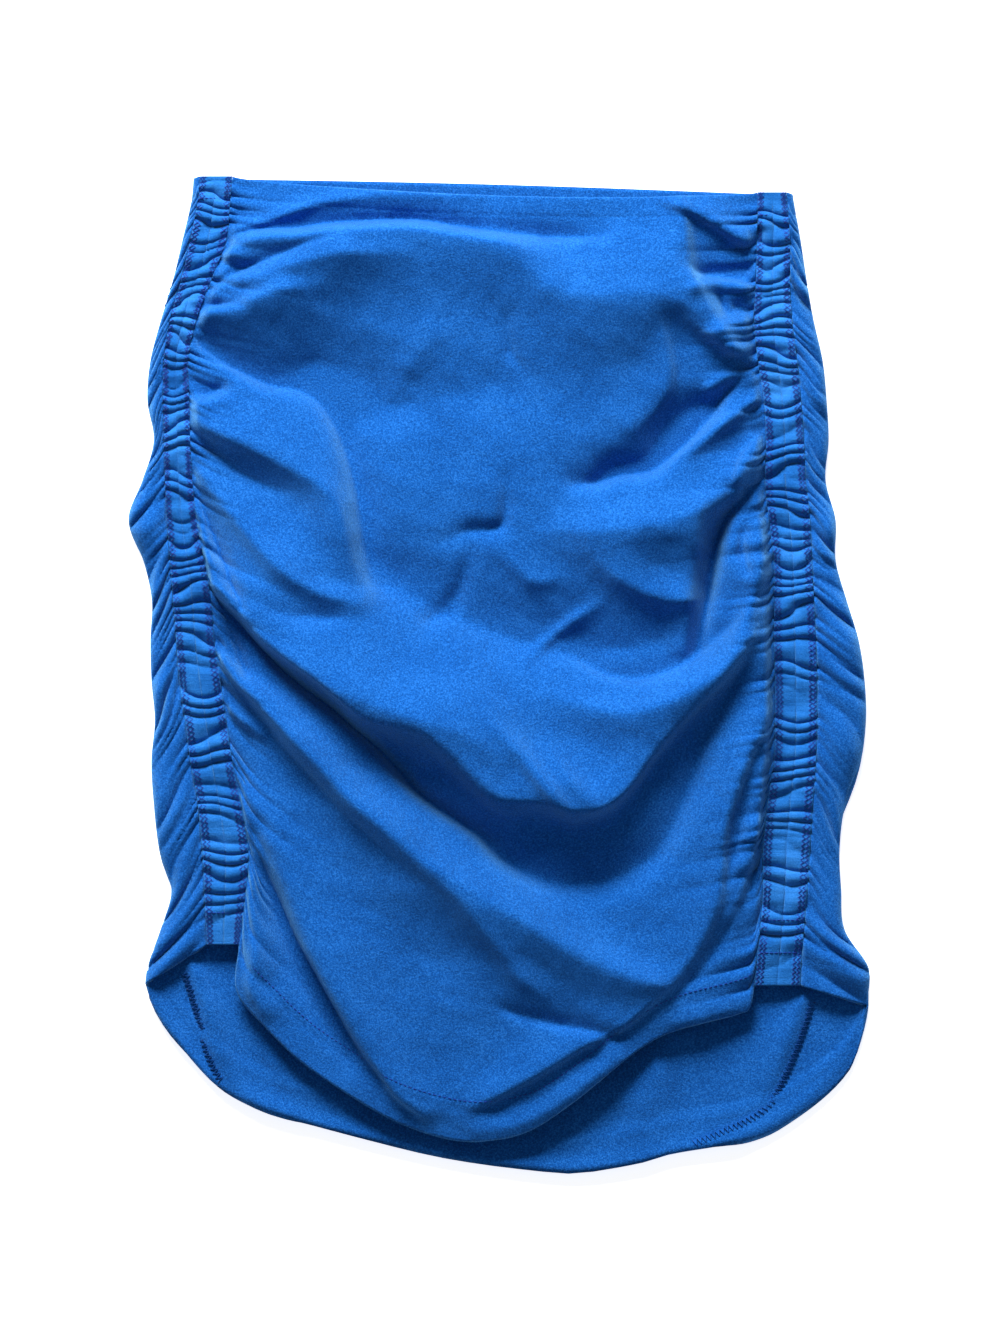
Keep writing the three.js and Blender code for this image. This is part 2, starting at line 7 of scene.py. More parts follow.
import bpy
import numpy as np
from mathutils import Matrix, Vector


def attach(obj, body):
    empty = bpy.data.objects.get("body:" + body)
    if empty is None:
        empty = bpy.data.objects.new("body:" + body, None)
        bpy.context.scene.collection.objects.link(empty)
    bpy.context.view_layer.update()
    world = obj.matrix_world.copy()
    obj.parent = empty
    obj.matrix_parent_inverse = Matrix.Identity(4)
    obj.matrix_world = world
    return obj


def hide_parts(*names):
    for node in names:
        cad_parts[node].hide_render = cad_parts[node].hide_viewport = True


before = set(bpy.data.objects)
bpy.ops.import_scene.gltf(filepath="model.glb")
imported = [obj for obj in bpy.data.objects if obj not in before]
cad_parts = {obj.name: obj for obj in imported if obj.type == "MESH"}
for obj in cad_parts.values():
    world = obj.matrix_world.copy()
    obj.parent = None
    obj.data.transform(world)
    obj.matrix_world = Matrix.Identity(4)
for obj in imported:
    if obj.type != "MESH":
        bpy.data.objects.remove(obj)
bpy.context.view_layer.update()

MM = 0.001

# Walls and hems
CLOTH = 1.2  # one layer of brushed jersey
BAND_WALL = 2.0
HEM_DEPTH = 14.0
HEM_LAYER = 0.8  # what the turned-in hem adds on the inside
HEM_FADE = 2.0  # the turned-in edge thins out over this distance
SEAM_GAP = 0.15  # between pieces that are sewn together

# Heights above the surface, at the middle of the wall
BAND_LEVEL = 6.0
MOUTH_LEVEL = 9.4
BASIN_LEVEL = 14.5
LEAST_LEVEL = 3.8
HOLLOW_LEVEL = 4.8  # least level over the hollow that is open from end to end
HOLLOW_HALF_WIDTH = 88.0
HOLLOW_EDGE = 22.0  # beyond its half width the least level falls over this distance
ROLL_LEVEL = 3.2

# How the panels run
PUFF_REACH = 20.0  # the front rises from a seam within about this distance
SEAM_HOLD = 6.0  # the front's folds fade out this near to a seam
TURN_UNDER = 7.0  # from the back panel's fold in to where it lies on the floor
HEM_SQUARENESS = 0.6
HEM_SPREAD = 9  # the higher, the later the front's columns turn to their places along its hem
FRONT_LENGTH = 400.0  # about how far it is down the front, to place its hem stitches
SIDE_SHARE = 0.25  # share of the back panel's width, at each end, that lies beside a band

# Ruching
RIPPLES = 58  # gathers down each seam
BAND_RIPPLE = 2.0
PANEL_RIPPLE = 2.2
RIPPLE_REACH = 9.0
SIDE_RIPPLE_REACH = 13.0
WIDE_RIPPLE = 2.4  # wider folds that several gathers run into
WIDE_REACH = 15.0
WIDE_HOLD = 5.0
WIDE_GATHERS = {"left": (0.41, 0.3), "right": (0.45, 0.7), "back": (0.4, 0.5)}  # their count, and a shift
SIDE_WIDE_RIPPLE = 2.6
SIDE_SLANT = 0.03  # how far gathers run down on their way to the back panel's fold
FLAT_ENDS = 0.035  # the gathers fade over this share of a seam at the waist, and over twice that at the hem
FOLD_SHARPNESS = 1.55  # 2 gives round folds, and less gives flatter sides and a sharper crest
FOLD_END = 2.6  # beyond this many reaches a fold is left out
TIGHT_TOP = 0.8  # spacing of the gathers at the waist, as a share of even spacing

# Small unevenness of the front: height, wave and seed
RELIEF = [(0.9, 14.0, 5), (0.5, 6.0, 3), (0.16, 2.6, 8)]

WAIST_Y = {"left": 248.0, "right": 240.0}
BAND_END_Y = {"left": -136.5, "right": -157.0}
HEM_CORNER_Y = {"left": -156.0, "right": -167.0}
WAIST_DIP = {"front": 6.0, "back": -1.3}
WAIST_STEP = 1.0  # the back's waist edge is this much below the ends of the bands

# Stitching
STITCH_ROWS = [0.06, 0.15, 0.85, 0.94]  # zigzag rows across a band
CROSS_ROWS = [0.036, 0.93, 0.965]  # where the hems are stitched across a band
HEM_ROW = 1 - HEM_DEPTH / FRONT_LENGTH  # down the front
WAIST_ROW = 0.006  # down the inside of the back
STITCH_DIMPLE = 0.25  # how far a hem's stitches pull the outer face in
OVERLOCK_OFFSET = 4.2  # from the crest of a rolled edge to the middle of the loops
OVERLOCK_CLEARANCE = 3.5  # the loops end this near to the hem

# Mesh density
ROWS = 401
BAND_DOWN = np.linspace(0, 1, RIPPLES * 8 + 1)
BAND_COLUMNS = np.concatenate([np.linspace(0, 0.42, 8), [0.46, 0.48, 0.5, 0.52, 0.54],
                               np.linspace(0.58, 1, 8)])
FRONT_MIDDLE_COLUMNS = 167
FRONT_EDGE_COLUMNS = [0, 0.6, 1.3, 2.1, 3.0, 4.0, 5.1, 6.3, 7.6, 9.0, 10.5, 12.0]  # in from each seam
FRONT_WIDTH = 276.0

# Lines down the sides: where the back panel turns over (fold), and the edges of each band
SIDE_COLUMNS = ["y", "leftFold", "leftOuter", "leftInner", "rightInner", "rightOuter", "rightFold"]
SIDE_LINES = [
    [248, -151.8, -149, -133, 129.5, 143.5, 146],
    [236, -153, -150, -134, 130, 144.5, 147.5],
    [216, -157.5, -154, -136, 129.5, 146, 151],
    [196, -162.3, -158.5, -143.5, 129, 146, 154],
    [176, -168.3, -164, -151, 128, 147, 157.5],
    [156, -173.5, -167, -155, 130, 149.5, 162],
    [136, -175, -167.5, -154.5, 133, 151.5, 164],
    [116, -171.8, -167, -154, 134, 153, 165],
    [96, -177.5, -166.5, -153, 133.5, 154, 163.5],
    [76, -184.5, -165.5, -151, 135.5, 156, 168.5],
    [56, -177, -164, -147, 138, 157, 168.5],
    [36, -172.8, -162.5, -143.5, 138, 158, 174],
    [16, -173.5, -161, -142, 138, 159, 180],
    [-4, -173, -159.5, -139, 138.5, 159.5, 183],
    [-24, -171.3, -156.5, -136, 138.5, 159.5, 183.7],
    [-44, -173, -154, -133, 138, 159, 181],
    [-64, -172, -150.5, -129, 135, 157.5, 173.5],
    [-89, -169, -148, -125, 132.5, 156, 170.5],
    [-109, -163, -147, -126, 132.5, 154.5, 171.3],
    [-129, -168.5, -146, -128.5, 131, 153, 173],
    [-148, -175, -145, -129, 129, 151.5, 185],
    [-160, -176.5, -144.5, -129, 128, 151, 185],
]

# Hem of the front panel from the left band to the right one
FRONT_HEM_COLUMNS = ["across", "x", "y"]
FRONT_HEM = [
    [0, -128, -136.5],
    [0.05, -130, -159],
    [0.11, -117, -176],
    [0.18, -99, -194],
    [0.27, -74, -211.5],
    [0.36, -49, -225.5],
    [0.44, -25, -233.5],
    [0.5, -8, -234.5],
    [0.58, 15, -229.5],
    [0.66, 38.5, -214],
    [0.76, 67, -191],
    [0.84, 86, -180],
    [0.955, 121.5, -170.5],
    [0.985, 125.5, -167],
    [1, 127.5, -157],
]

# Lower hem of the back panel from its left fold to its right fold
BACK_HEM_COLUMNS = ["across", "y"]
BACK_HEM = [
    [0, -160],
    [0.02, -174],
    [0.06, -193],
    [0.1, -208],
    [0.145, -217],
    [0.19, -223],
    [0.31, -234.5],
    [0.43, -244],
    [0.56, -250.5],
    [0.61, -250.5],
    [0.685, -246],
    [0.727, -241.5],
    [0.81, -236.5],
    [0.86, -232],
    [0.9, -223.5],
    [0.94, -213],
    [0.97, -202],
    [0.987, -191],
    [1, -172],
]

# Folds. Each row is a point of the crest: x, y, rise, and the reach on the left and on the right of the
# crest for someone who walks along it from the first row. A negative rise is a crease. lean pushes the
# crest over towards its left side, or its right side if negative.
FRONT_FOLDS = {
    # waist and left shoulder
    "waist_tuck": (0, [
        [-138, 219, 1, 3, 2.5], [-118, 224.5, 2.5, 4, 2.5], [-99, 231, 3, 5, 2.5], [-84, 235, 2.5, 5, 3],
        [-55, 238, 1.5, 4, 4], [-10, 238, 1, 4, 4]]),
    "waist_groove": (0, [
        [-134, 218, -2, 4, 2], [-121, 220, -4, 5, 2.5], [-99, 221, -5, 6, 2.5], [-79, 223.5, -6, 6, 2.5],
        [-44, 225, -7, 6, 2.5], [-24, 222, -7, 7, 2.5], [1, 218.5, -7, 8, 3], [31, 217, -6, 9, 3],
        [51, 218, -3, 9, 3]]),
    "waist_lip": (3, [
        [-143, 203, 3, 5, 8], [-121.5, 213, 8, 7, 14], [-99, 214, 9, 7, 20], [-79, 216, 10, 7, 26],
        [-44, 217, 11, 7, 30], [-24, 214, 11, 8, 30], [-2, 211, 9, 9, 26], [16, 209, 5, 9, 18],
        [34, 208, 1, 9, 12]]),
    "left_gather_one": (1, [
        [-142, 190, 3, 4, 5], [-129, 193, 5, 6, 9], [-118, 196, 6, 7, 12], [-98, 201, 6, 7, 16],
        [-76.5, 205, 6, 7, 20], [-54, 205, 3, 7, 20]]),
    "left_gather_two": (1, [
        [-155, 174, 4, 3, 4], [-149, 177, 7, 5, 6], [-129, 182, 7, 5, 12], [-109, 188, 7, 6, 16],
        [-91.5, 190, 3, 7, 18]]),
    "left_gather_crease": (0, [
        [-141.5, 195, -1, 3, 2], [-130, 199, -3, 3.5, 2], [-119, 203, -3, 4, 2], [-99, 210, -2.5, 4, 2.5],
        [-79, 216, -1, 4, 2.5]]),
    "left_pocket": (0, [[-150, 184, -3, 3, 2.5], [-139, 182.5, -5, 3.5, 2.5], [-128, 183, -3, 3.5, 3]]),
    "left_hollow": (0, [
        [-156, 169, -4, 3, 2.5], [-146, 162, -6, 7, 3], [-131, 152, -8, 14, 3], [-114, 144, -9, 20, 3.5],
        [-96, 141.5, -8, 24, 4], [-80, 135, -5, 24, 6], [-72, 125, -2, 20, 8]]),
    "left_shoulder": (0, [
        [-159, 136, 3, 10, 4], [-149, 124.5, 6, 16, 5], [-136.5, 118, 8, 20, 6], [-124, 112.5, 8, 22, 7],
        [-111.5, 106, 8, 20, 8], [-99, 99, 8, 16, 10], [-89, 93, 8, 11, 12], [-81, 84, 8, 7, 16],
        [-77, 70, 8, 6, 18], [-74, 56, 7, 6, 18], [-66.5, 41, 4, 6, 14]]),
    "shoulder_trough": (0, [
        [-94, 148, -2, 8, 5], [-84, 130, -5, 10, 4], [-76, 110, -7, 12, 4], [-71, 90, -7, 14, 4],
        [-68, 68, -6, 14, 4], [-63, 46, -4, 14, 6]]),
    "left_pocket_two": (0, [[-155, 142, -3, 4, 2], [-146.5, 138.5, -5, 5, 2], [-138, 142, -3, 5, 2.5]]),
    "left_bulge": (0, [
        [-160, 131, 2, 2.5, 5], [-150, 133, 2.5, 2.5, 5], [-140, 135, 2, 2.5, 5], [-131, 138, 1, 3, 5]]),
    "left_trough": (0, [
        [-158, 122, -2, 3, 2.5], [-149, 115, -3, 4, 2.5], [-136.5, 105, -3.5, 5, 2.5], [-124, 97, -3, 6, 3],
        [-112, 92, -1.5, 7, 4], [-102, 90, -0.5, 8, 5]]),
    "left_lower_crest": (0, [
        [-146.5, 97, 3, 7, 4], [-136.5, 83.5, 5, 10, 5], [-124, 68.5, 7, 14, 6], [-106.5, 51, 8, 16, 6],
        [-89, 41, 7, 16, 6], [-72, 36, 4, 12, 6]]),
    "left_leaf": (0, [
        [-152, 92, -3, 3, 3], [-145, 76, -5, 5, 3], [-138, 60, -6, 5, 3], [-131, 44, -5, 4, 3],
        [-126, 34, -3, 3, 3]]),
    "left_rim": (0, [
        [-154, 86, 2, 2.5, 3], [-147, 64, 3, 2.5, 3], [-141, 50, 3, 2.5, 3], [-130, 36, 2, 2.5, 3]]),
    "left_leaf_two": (0, [[-137, 28, -2, 3, 2.5], [-131, 14, -4, 4, 2.5], [-126, 0, -3, 3.5, 2.5]]),
    "left_patch": (0, [[-108, 31, -1, 6, 5], [-96, 29, -3, 6, 5], [-84, 28, -3, 6, 5], [-74, 28, -1, 6, 6]]),
    "left_low_gather": (0, [[-134, -19, 3, 4, 2.5], [-126, -25, 4, 4, 2.5], [-118, -31, 2, 4, 3]]),
    # the three swags
    "upper_swag": (-3, [
        [-156, 84, 4, 10, 4], [-149, 58, 7, 16, 4], [-138, 42, 10, 24, 4], [-126.5, 32, 12, 30, 4],
        [-116, 20, 13, 34, 4], [-106, 12, 13, 36, 4], [-96, 5, 14, 38, 4], [-85, -3, 14, 38, 4],
        [-74, -12, 14, 38, 4.5], [-63, -20, 14, 36, 7], [-49, -23, 14, 34, 11], [-34, -27, 14, 32, 13],
        [-19, -38, 14, 30, 13], [-6, -51, 13.8, 30, 12], [4, -59, 13.8, 28, 11], [21, -61, 13.5, 28, 9],
        [38.5, -65, 13.5, 26, 8], [51, -64, 13, 26, 6], [63, -55, 11, 24, 4.5], [73.5, -41.5, 9, 22, 4],
        [85, -28, 7, 20, 4], [96, -16.5, 5, 18, 4], [107, -5.5, 4, 14, 3.5], [118.5, 8.5, 3, 12, 3.5],
        [127, 22, 2, 10, 3.5]]),
    "swag_crease": (0, [
        [-144, 40, -2, 3, 2.5], [-137, 33, -4, 3, 3], [-126, 22, -6, 3, 3], [-114, 8, -7, 3, 3],
        [-104, -2, -8, 3.5, 3], [-94, -10, -8, 3.5, 3], [-81.5, -19, -8, 4, 3], [-70, -29, -8, 4, 3],
        [-60, -38, -8, 4.5, 3], [-50, -49, -8, 4.5, 3], [-39, -61, -9, 5, 3], [-24, -72, -9, 6, 3],
        [-9, -82, -9, 8, 3], [5, -95, -8, 12, 4], [26, -105, -8, 17, 6], [51, -105, -8, 18, 8],
        [75, -93, -7, 18, 8], [88, -74, -6, 15, 8], [96, -54, -5, 12, 7], [104, -32, -4, 9, 6],
        [113, -14, -3, 6, 5], [122, 2, -2, 4, 4]]),
    "middle_swag": (-2, [
        [-137, 6, 6, 6, 3], [-129, -4, 10, 8, 3], [-119, -13, 12, 10, 3.5], [-109, -23, 13, 12, 5],
        [-99, -34, 14, 13, 8], [-89, -44, 14, 13, 11], [-79, -55, 14, 13, 13], [-69, -65, 15, 13, 16],
        [-59, -73.5, 15, 14, 18], [-49, -82, 15, 14, 19], [-39, -91, 15, 14, 20], [-29, -98, 15, 14, 22],
        [-14, -107, 14, 14, 26], [1, -116, 13.5, 14, 28], [21, -128, 13, 13, 26], [41, -140, 12, 12, 22],
        [61, -149, 10, 11, 16], [76, -154, 7, 9, 10], [86, -156, 3, 6, 6]]),
    "middle_swag_lower": (0, [
        [-34, -98, 1, 5, 8], [-22, -108, 3, 6, 8], [-9, -124, 4, 8, 7], [3, -140, 4, 9, 6],
        [13, -154, 3, 8, 6], [21, -160, 1, 6, 5]]),
    "swag_shadow": (0, [
        [-113, -30, -2, 3, 5], [-94, -50, -4, 4, 8], [-78, -67, -4, 4, 9], [-60, -84, -4, 5, 10],
        [-42, -99, -3, 6, 10], [-24, -112, -2, 7, 10]]),
    "lower_swag_left": (-2.5, [
        [-126, -66, 3, 10, 3], [-122, -79, 5, 14, 3], [-116, -89, 6, 16, 3], [-107, -109, 7, 20, 3],
        [-97, -131.5, 8, 24, 3], [-87, -149, 8, 26, 3], [-77, -166.5, 8, 26, 3], [-67, -184, 8, 24, 3],
        [-57, -197, 7, 22, 3], [-49, -209, 6, 18, 3], [-39, -218, 4, 14, 3]]),
    "lower_left_crease": (0, [
        [-119, -80, -4, 4, 7], [-113, -97, -8, 4, 10], [-106, -116, -10, 3.5, 11],
        [-99, -134, -10, 3.5, 12], [-90, -152, -10, 3, 12], [-81, -168, -9, 3, 12],
        [-70, -186, -6, 3, 10]]),
    "lower_left_corner": (0, [
        [-123, -92, 3, 8, 3], [-122, -118, 5, 9, 4], [-121, -140, 6, 10, 5], [-123, -157, 5, 10, 4],
        [-118, -168, 4, 10, 4]]),
    "lower_swag_right": (0, [
        [120, -98, 1, 2.2, 8], [110, -118, 1.5, 2.2, 14], [101, -134, 1.5, 2.2, 18], [91, -149, 2, 2.2, 20],
        [79, -161, 3, 2.2, 22], [62, -176, 4.5, 2.5, 20], [41, -187, 5, 2.5, 18], [20, -200, 5, 2.5, 16],
        [0, -211, 5, 2.5, 14], [-10, -216, 3, 3, 10]]),
    "right_inner_rim": (0, [
        [136, -16, 2, 3, 8], [131, -29, 5, 2.2, 14], [126, -38, 6, 2.2, 18], [118.5, -59, 7, 2.2, 20],
        [112.5, -79, 6.5, 2.2, 20], [111, -99, 5.5, 2.2, 18], [109.5, -112, 4.5, 2.2, 16],
        [105, -127, 3, 2.2, 14], [100, -138, 2, 2.5, 12], [91, -150, 1, 3, 10]]),
    "right_outer_rim": (0, [
        [134, 52, 2, 2.5, 8], [134, 34, 5, 2.5, 12], [134, 12, 8, 2.5, 15], [134, -8, 9, 2.5, 16],
        [134, -31, 9, 2.5, 17], [131.5, -50, 9, 2.5, 17], [129.5, -74, 9, 2.5, 16], [126, -92, 7, 2.5, 14],
        [121, -108, 4, 3, 12], [117, -122, 2, 4, 8]]),
    "right_rim_crease": (0, [[124, -62, -1, 3, 2], [120, -80, -1.5, 3, 2], [116, -98, -1, 3, 2]]),
    "flap_crease": (0, [
        [128, -104, -1, 3, 2.5], [119, -120, -1.5, 3, 2.5], [110, -136, -1.5, 3, 2.5],
        [100, -150, -1.5, 3, 2.5], [90, -160, -1, 3, 2.5]]),
    "flap_rim": (0, [
        [84, -176, 1, 12, 3], [98, -173, 2.5, 16, 3], [112, -169.5, 2.5, 18, 3], [124, -166, 1, 14, 3]]),
    "hem_lift": (0, [
        [-10, -229, 1, 6, 4], [10, -226, 2, 7, 4], [30, -216, 2.5, 7, 4], [46, -204, 2.5, 7, 4],
        [60, -193, 1, 6, 4]]),
    "under_crease": (0, [
        [0, -167, -1, 5, 3], [11, -171, -3, 6, 3], [31, -176, -4, 6, 3], [51, -180, -4, 6, 3],
        [61, -182, -2, 5, 3]]),
    # right shoulder and the hollow below it
    "upper_slope": (0, [
        [3, 212, 4, 10, 16], [14, 200, 8, 16, 24], [26, 192, 12, 22, 34], [40, 187, 13.5, 26, 42],
        [56, 187, 13.5, 26, 42], [70, 188, 12.5, 24, 34], [80, 188, 11, 20, 22], [90, 185, 9, 16, 14],
        [99, 180, 5, 12, 8]]),
    "right_waist_ridge": (0, [
        [90, 237, 2, 3.5, 10], [92, 228, 4, 3, 14], [94, 212, 6, 3, 16], [96, 198, 6, 3, 14],
        [101, 188, 5, 4, 12], [108, 176, 5, 5, 10], [115, 165, 5, 6, 8], [121, 158, 3, 5, 6]]),
    "right_waist_pit": (0, [
        [97, 202, -4, 14, 2.2], [104, 198, -7, 18, 2.2], [113, 196.5, -7, 16, 2.2],
        [121, 197, -4, 12, 2.2]]),
    "right_waist_patch": (0, [
        [99, 174, 3, 12, 4], [107, 168, 6, 16, 3.5], [116, 162, 7, 16, 3], [124, 158, 4, 12, 3]]),
    "right_waist_fold": (0, [
        [86, 234, 2, 8, 2.5], [95, 231, 5, 10, 2.5], [108, 224.5, 7, 10, 2.5], [120, 217, 6.5, 9, 2.5],
        [131, 211, 3, 6, 2.5]]),
    "right_gather_a": (0, [
        [98, 192, 3, 2.5, 5], [105, 194, 5, 2.5, 5], [112, 194.5, 5, 2.5, 4], [119, 193, 5, 2.5, 4],
        [128, 190, 3, 2.5, 4]]),
    "right_pocket_a": (0, [[110, 189, -2, 2.5, 3], [112, 183, -3, 2.5, 3], [115, 178, -1, 3, 3]]),
    "right_pocket_b": (0, [[119, 182.5, -3, 2.5, 2.5], [129, 182, -2, 2.5, 2.5]]),
    "right_gather_b": (0, [[110, 170, 3, 4, 5], [118, 174, 5, 4, 6], [129, 175, 5, 4, 7]]),
    "right_hollow": (0, [
        [126, 153, -1, 3, 3], [119, 145, -3, 3, 5], [112, 137, -8, 3.5, 10], [104, 128, -14, 4, 16],
        [95, 118, -16, 4, 20], [86, 109, -16, 4, 18], [75, 101.5, -14, 4, 14], [61, 99.5, -12, 4, 12],
        [49, 95, -9, 4, 10], [40, 94, -4, 4, 8]]),
    "hollow_crest": (0, [
        [79, 178, 1, 4, 10], [82.5, 166, 3, 3.5, 12], [85, 152, 4, 3, 12], [84, 140, 4, 3, 12],
        [77, 130, 3, 4, 12], [68, 122, 2, 5, 12]]),
    "right_gather_c": (0, [
        [106, 142, 3, 3, 5], [113.5, 147, 4, 3, 5], [123.5, 148.5, 4, 3, 5], [132, 145, 3, 3, 4]]),
    "right_gather_d": (0, [
        [86, 104, 2, 3, 3], [96, 111, 4, 3, 3.5], [106, 119, 5, 3, 4], [118.5, 129, 5, 3, 4],
        [130, 137, 3, 3, 3]]),
    "right_middle_ridge": (0, [
        [33, 70, 4, 9, 16], [50, 70, 8, 14, 20], [71, 72, 11, 17, 22], [90, 76, 11, 17, 18],
        [106, 84, 10, 14, 12], [120, 98, 8, 10, 9], [130, 111, 5, 6, 6]]),
    "right_leaf": (0, [
        [133, 117, 3, 6, 2], [124, 108.5, 4, 6, 2], [119.5, 97, 4, 6, 2], [118.5, 87, 2, 5, 2]]),
    "right_gather_e": (0, [[134, 98, 4, 3, 3], [124, 94, 3, 3, 3]]),
    "right_deep_crease": (0, [
        [124, 88, -6, 3.5, 4], [116, 80, -9, 4, 6], [110.5, 68, -12, 4, 8], [107.5, 54, -12, 4, 8],
        [105.5, 42, -11, 4, 8], [103.5, 30, -8, 4, 8], [101, 18, -5, 4, 7], [99, 8, -2, 4, 6]]),
    "deep_crease_crest": (0, [
        [101, 84, 1, 3, 8], [99.5, 66, 4, 3, 9], [97, 46, 4, 3, 9], [94.5, 26, 4, 3, 8],
        [92.5, 11, 2, 3, 6]]),
    "right_pleat": (0, [
        [134, 82, 5, 3, 10], [132, 62, 10, 3, 15], [129, 44, 10, 4, 15], [124, 28, 8, 6, 12],
        [116, 14, 3, 7, 9]]),
    "right_leaf_two": (0, [[123, 72, -2, 2.5, 2.5], [121.5, 62, -4, 2.5, 2.5], [124, 50, -2, 2.5, 2.5]]),
    # soft forms on the puffed front
    "upper_left_trough": (0, [
        [-94, 196, -1, 12, 12], [-82, 182, -2.5, 16, 16], [-74, 160, -3, 18, 20], [-66, 138, -3, 18, 20],
        [-60, 110, -2, 16, 20]]),
    "centre_ridge_high": (0, [[-52, 140, 1, 8, 5], [-45, 152, 2, 8, 6], [-34, 166, 1, 8, 6]]),
    "centre_dent": (0, [[4, 176, -1, 4, 4], [6, 160, -2.5, 4, 4], [12, 152, -1, 4, 4]]),
    "centre_crease": (0, [
        [-25, 66, -1, 5, 5], [-14, 71, -3, 5, 5], [1, 73, -4, 4, 5], [4, 86, -3, 4, 5], [3, 97, -1, 4, 5]]),
    "centre_crease_low": (0, [[-13, 63, -1, 4, 4], [-22, 36, -3.5, 5, 5], [-34, 26, -3, 5, 5]]),
    "centre_ridge": (0, [[1, 63, 1, 5, 5], [16, 46, 3, 6, 6], [31, 46, 1, 6, 6]]),
    "centre_basin": (0, [
        [-85, 46, -5, 16, 14], [-68, 44, -7, 22, 16], [-50, 42, -9, 24, 16], [-30, 32, -10, 24, 16],
        [5, 18, -11, 28, 14], [28, 13, -11, 28, 12], [50, 12, -9, 26, 12], [72, 14, -6, 20, 12],
        [86, 18, -3, 14, 8]]),
    "high_basin": (0, [
        [-88, 140, -4, 24, 14], [-70, 136, -6, 26, 16], [-50, 134, -6, 26, 16], [-25, 138, -4, 24, 18],
        [10, 146, -4, 24, 22], [40, 150, -3, 22, 22], [65, 152, -2, 20, 16]]),
    "centre_rim": (0, [[14, 6, 1, 4, 4], [24, 15, 3, 3, 5], [38, 26, 3, 3, 5], [50, 34, 1, 4, 5]]),
    "right_upper_arc": (0, [
        [48, 58, 2, 12, 7], [62, 46, 6, 15, 7], [78, 38, 8, 15, 7], [92, 36, 6, 13, 6], [98, 38, 2, 6, 5]]),
    "right_arc": (0, [
        [26, -12, 3, 8, 12], [50, -19, 8, 10, 16], [71, -19, 11, 11, 16], [94, -10, 11, 10, 14],
        [112, 2, 9, 8, 10], [125, 18, 6, 7, 8]]),
    "right_arc_trough": (0, [
        [22, 22, -1, 8, 6], [38, 10, -3, 9, 4], [52, 0, -5, 10, 3.5], [71, -3, -6, 10, 3.5],
        [90, 3, -5, 9, 3.5], [108, 16, -4, 7, 3.5], [120, 28, -2, 6, 3.5]]),
    "dome_bottom": (0, [
        [-100, 2, 3, 20, 10], [-75, -8, 6, 28, 10], [-49, -18, 8, 34, 12], [-20, -26, 8, 34, 14],
        [5, -40, 6, 32, 14], [26, -52, 4, 26, 12]]),
    "swag_streak_a": (0, [[-5, -22, 1, 7, 5], [10, -38, 4, 7, 4], [27, -58, 5, 6, 4], [38, -71, 3, 5, 4]]),
    "swag_streak_b": (0, [[25, -38, 1, 5, 4], [36, -52, 3, 5, 4], [48, -64, 2, 4, 4]]),
    "swag_streak_c": (0, [[-40, -22, 1, 7, 5], [-25, -38, 3, 7, 4], [-8, -56, 4, 6, 4], [3, -66, 2, 5, 4]]),
    "swag_streak_d": (0, [[-66, -20, -1, 5, 6], [-52, -34, -3, 6, 7], [-42, -46, -3, 6, 7]]),
}

# Folds of the back panel, where its inside shows below the front hem
BACK_FOLDS = {
    "left_roll": (1, [
        [-153, -149, 3, 5, 2.2], [-146.5, -170, 4.2, 9, 2], [-140.5, -192, 3.6, 10, 2],
        [-131, -208, 2, 10, 2], [-119, -217, 1.2, 9, 1.8], [-103, -222.5, 0.8, 8, 1.5]]),
    "right_roll": (-1, [
        [153.5, -164, 3, 2.4, 6], [147, -184, 3.6, 2.2, 10], [138, -205, 1.6, 2, 12],
        [129, -217, 0.6, 2, 12], [110, -226.5, 0.4, 1.8, 10], [92, -233.5, 0.3, 1.6, 8],
        [60, -243, 0.2, 1.4, 7]]),
    "middle": (0, [
        [84, -182, 1, 9, 4], [76, -200, 3, 12, 3.5], [71, -219, 2.4, 12, 3.5], [66, -236, 1, 9, 4]]),
    "left_middle": (0, [[-118, -180, 1, 5, 5], [-112, -196, 2, 6, 4], [-100, -210, 1, 6, 4]]),
    "hem_lip": (0, [
        [-174, -156.5, 1, 4, 3], [-166.5, -174, 2, 5, 3], [-154, -194, 2.4, 6, 3],
        [-141.5, -206.5, 2.4, 6, 3], [-124, -216.5, 2.4, 6, 3], [-99, -225, 2.2, 6, 3],
        [-74, -231.5, 2, 6, 3], [-39, -239, 2, 6, 3], [1, -246.5, 2, 6, 3], [31, -250, 2, 6, 3],
        [61, -248, 2.4, 6, 3], [91, -241.5, 2.8, 7, 3], [121, -234, 2.8, 7, 3], [146, -221.5, 2.2, 7, 3],
        [166, -204, 1, 6, 3], [178.5, -184, 0.3, 5, 3], [184, -164, 1, 4, 3]]),
}

# Pouches where the back panel bulges between its fold and the band: side, y, reach, rise
POUCHES = [
    ("left", 76, 14, 2.5),
    ("left", -20, 26, 1.5),
    ("left", -70, 22, 2.0),
    ("right", 140, 18, 2.5),
    ("right", 70, 14, 2.0),
    ("right", 8, 34, 3.5),
    ("right", -36, 18, 3.0),
    ("right", -140, 24, 2.5),
]


# Small maths helpers

def mix(a, b, t):
    return a + (b - a) * t


def step(t):
    t = np.clip(t, 0.0, 1.0)
    return t * t * (3.0 - 2.0 * t)


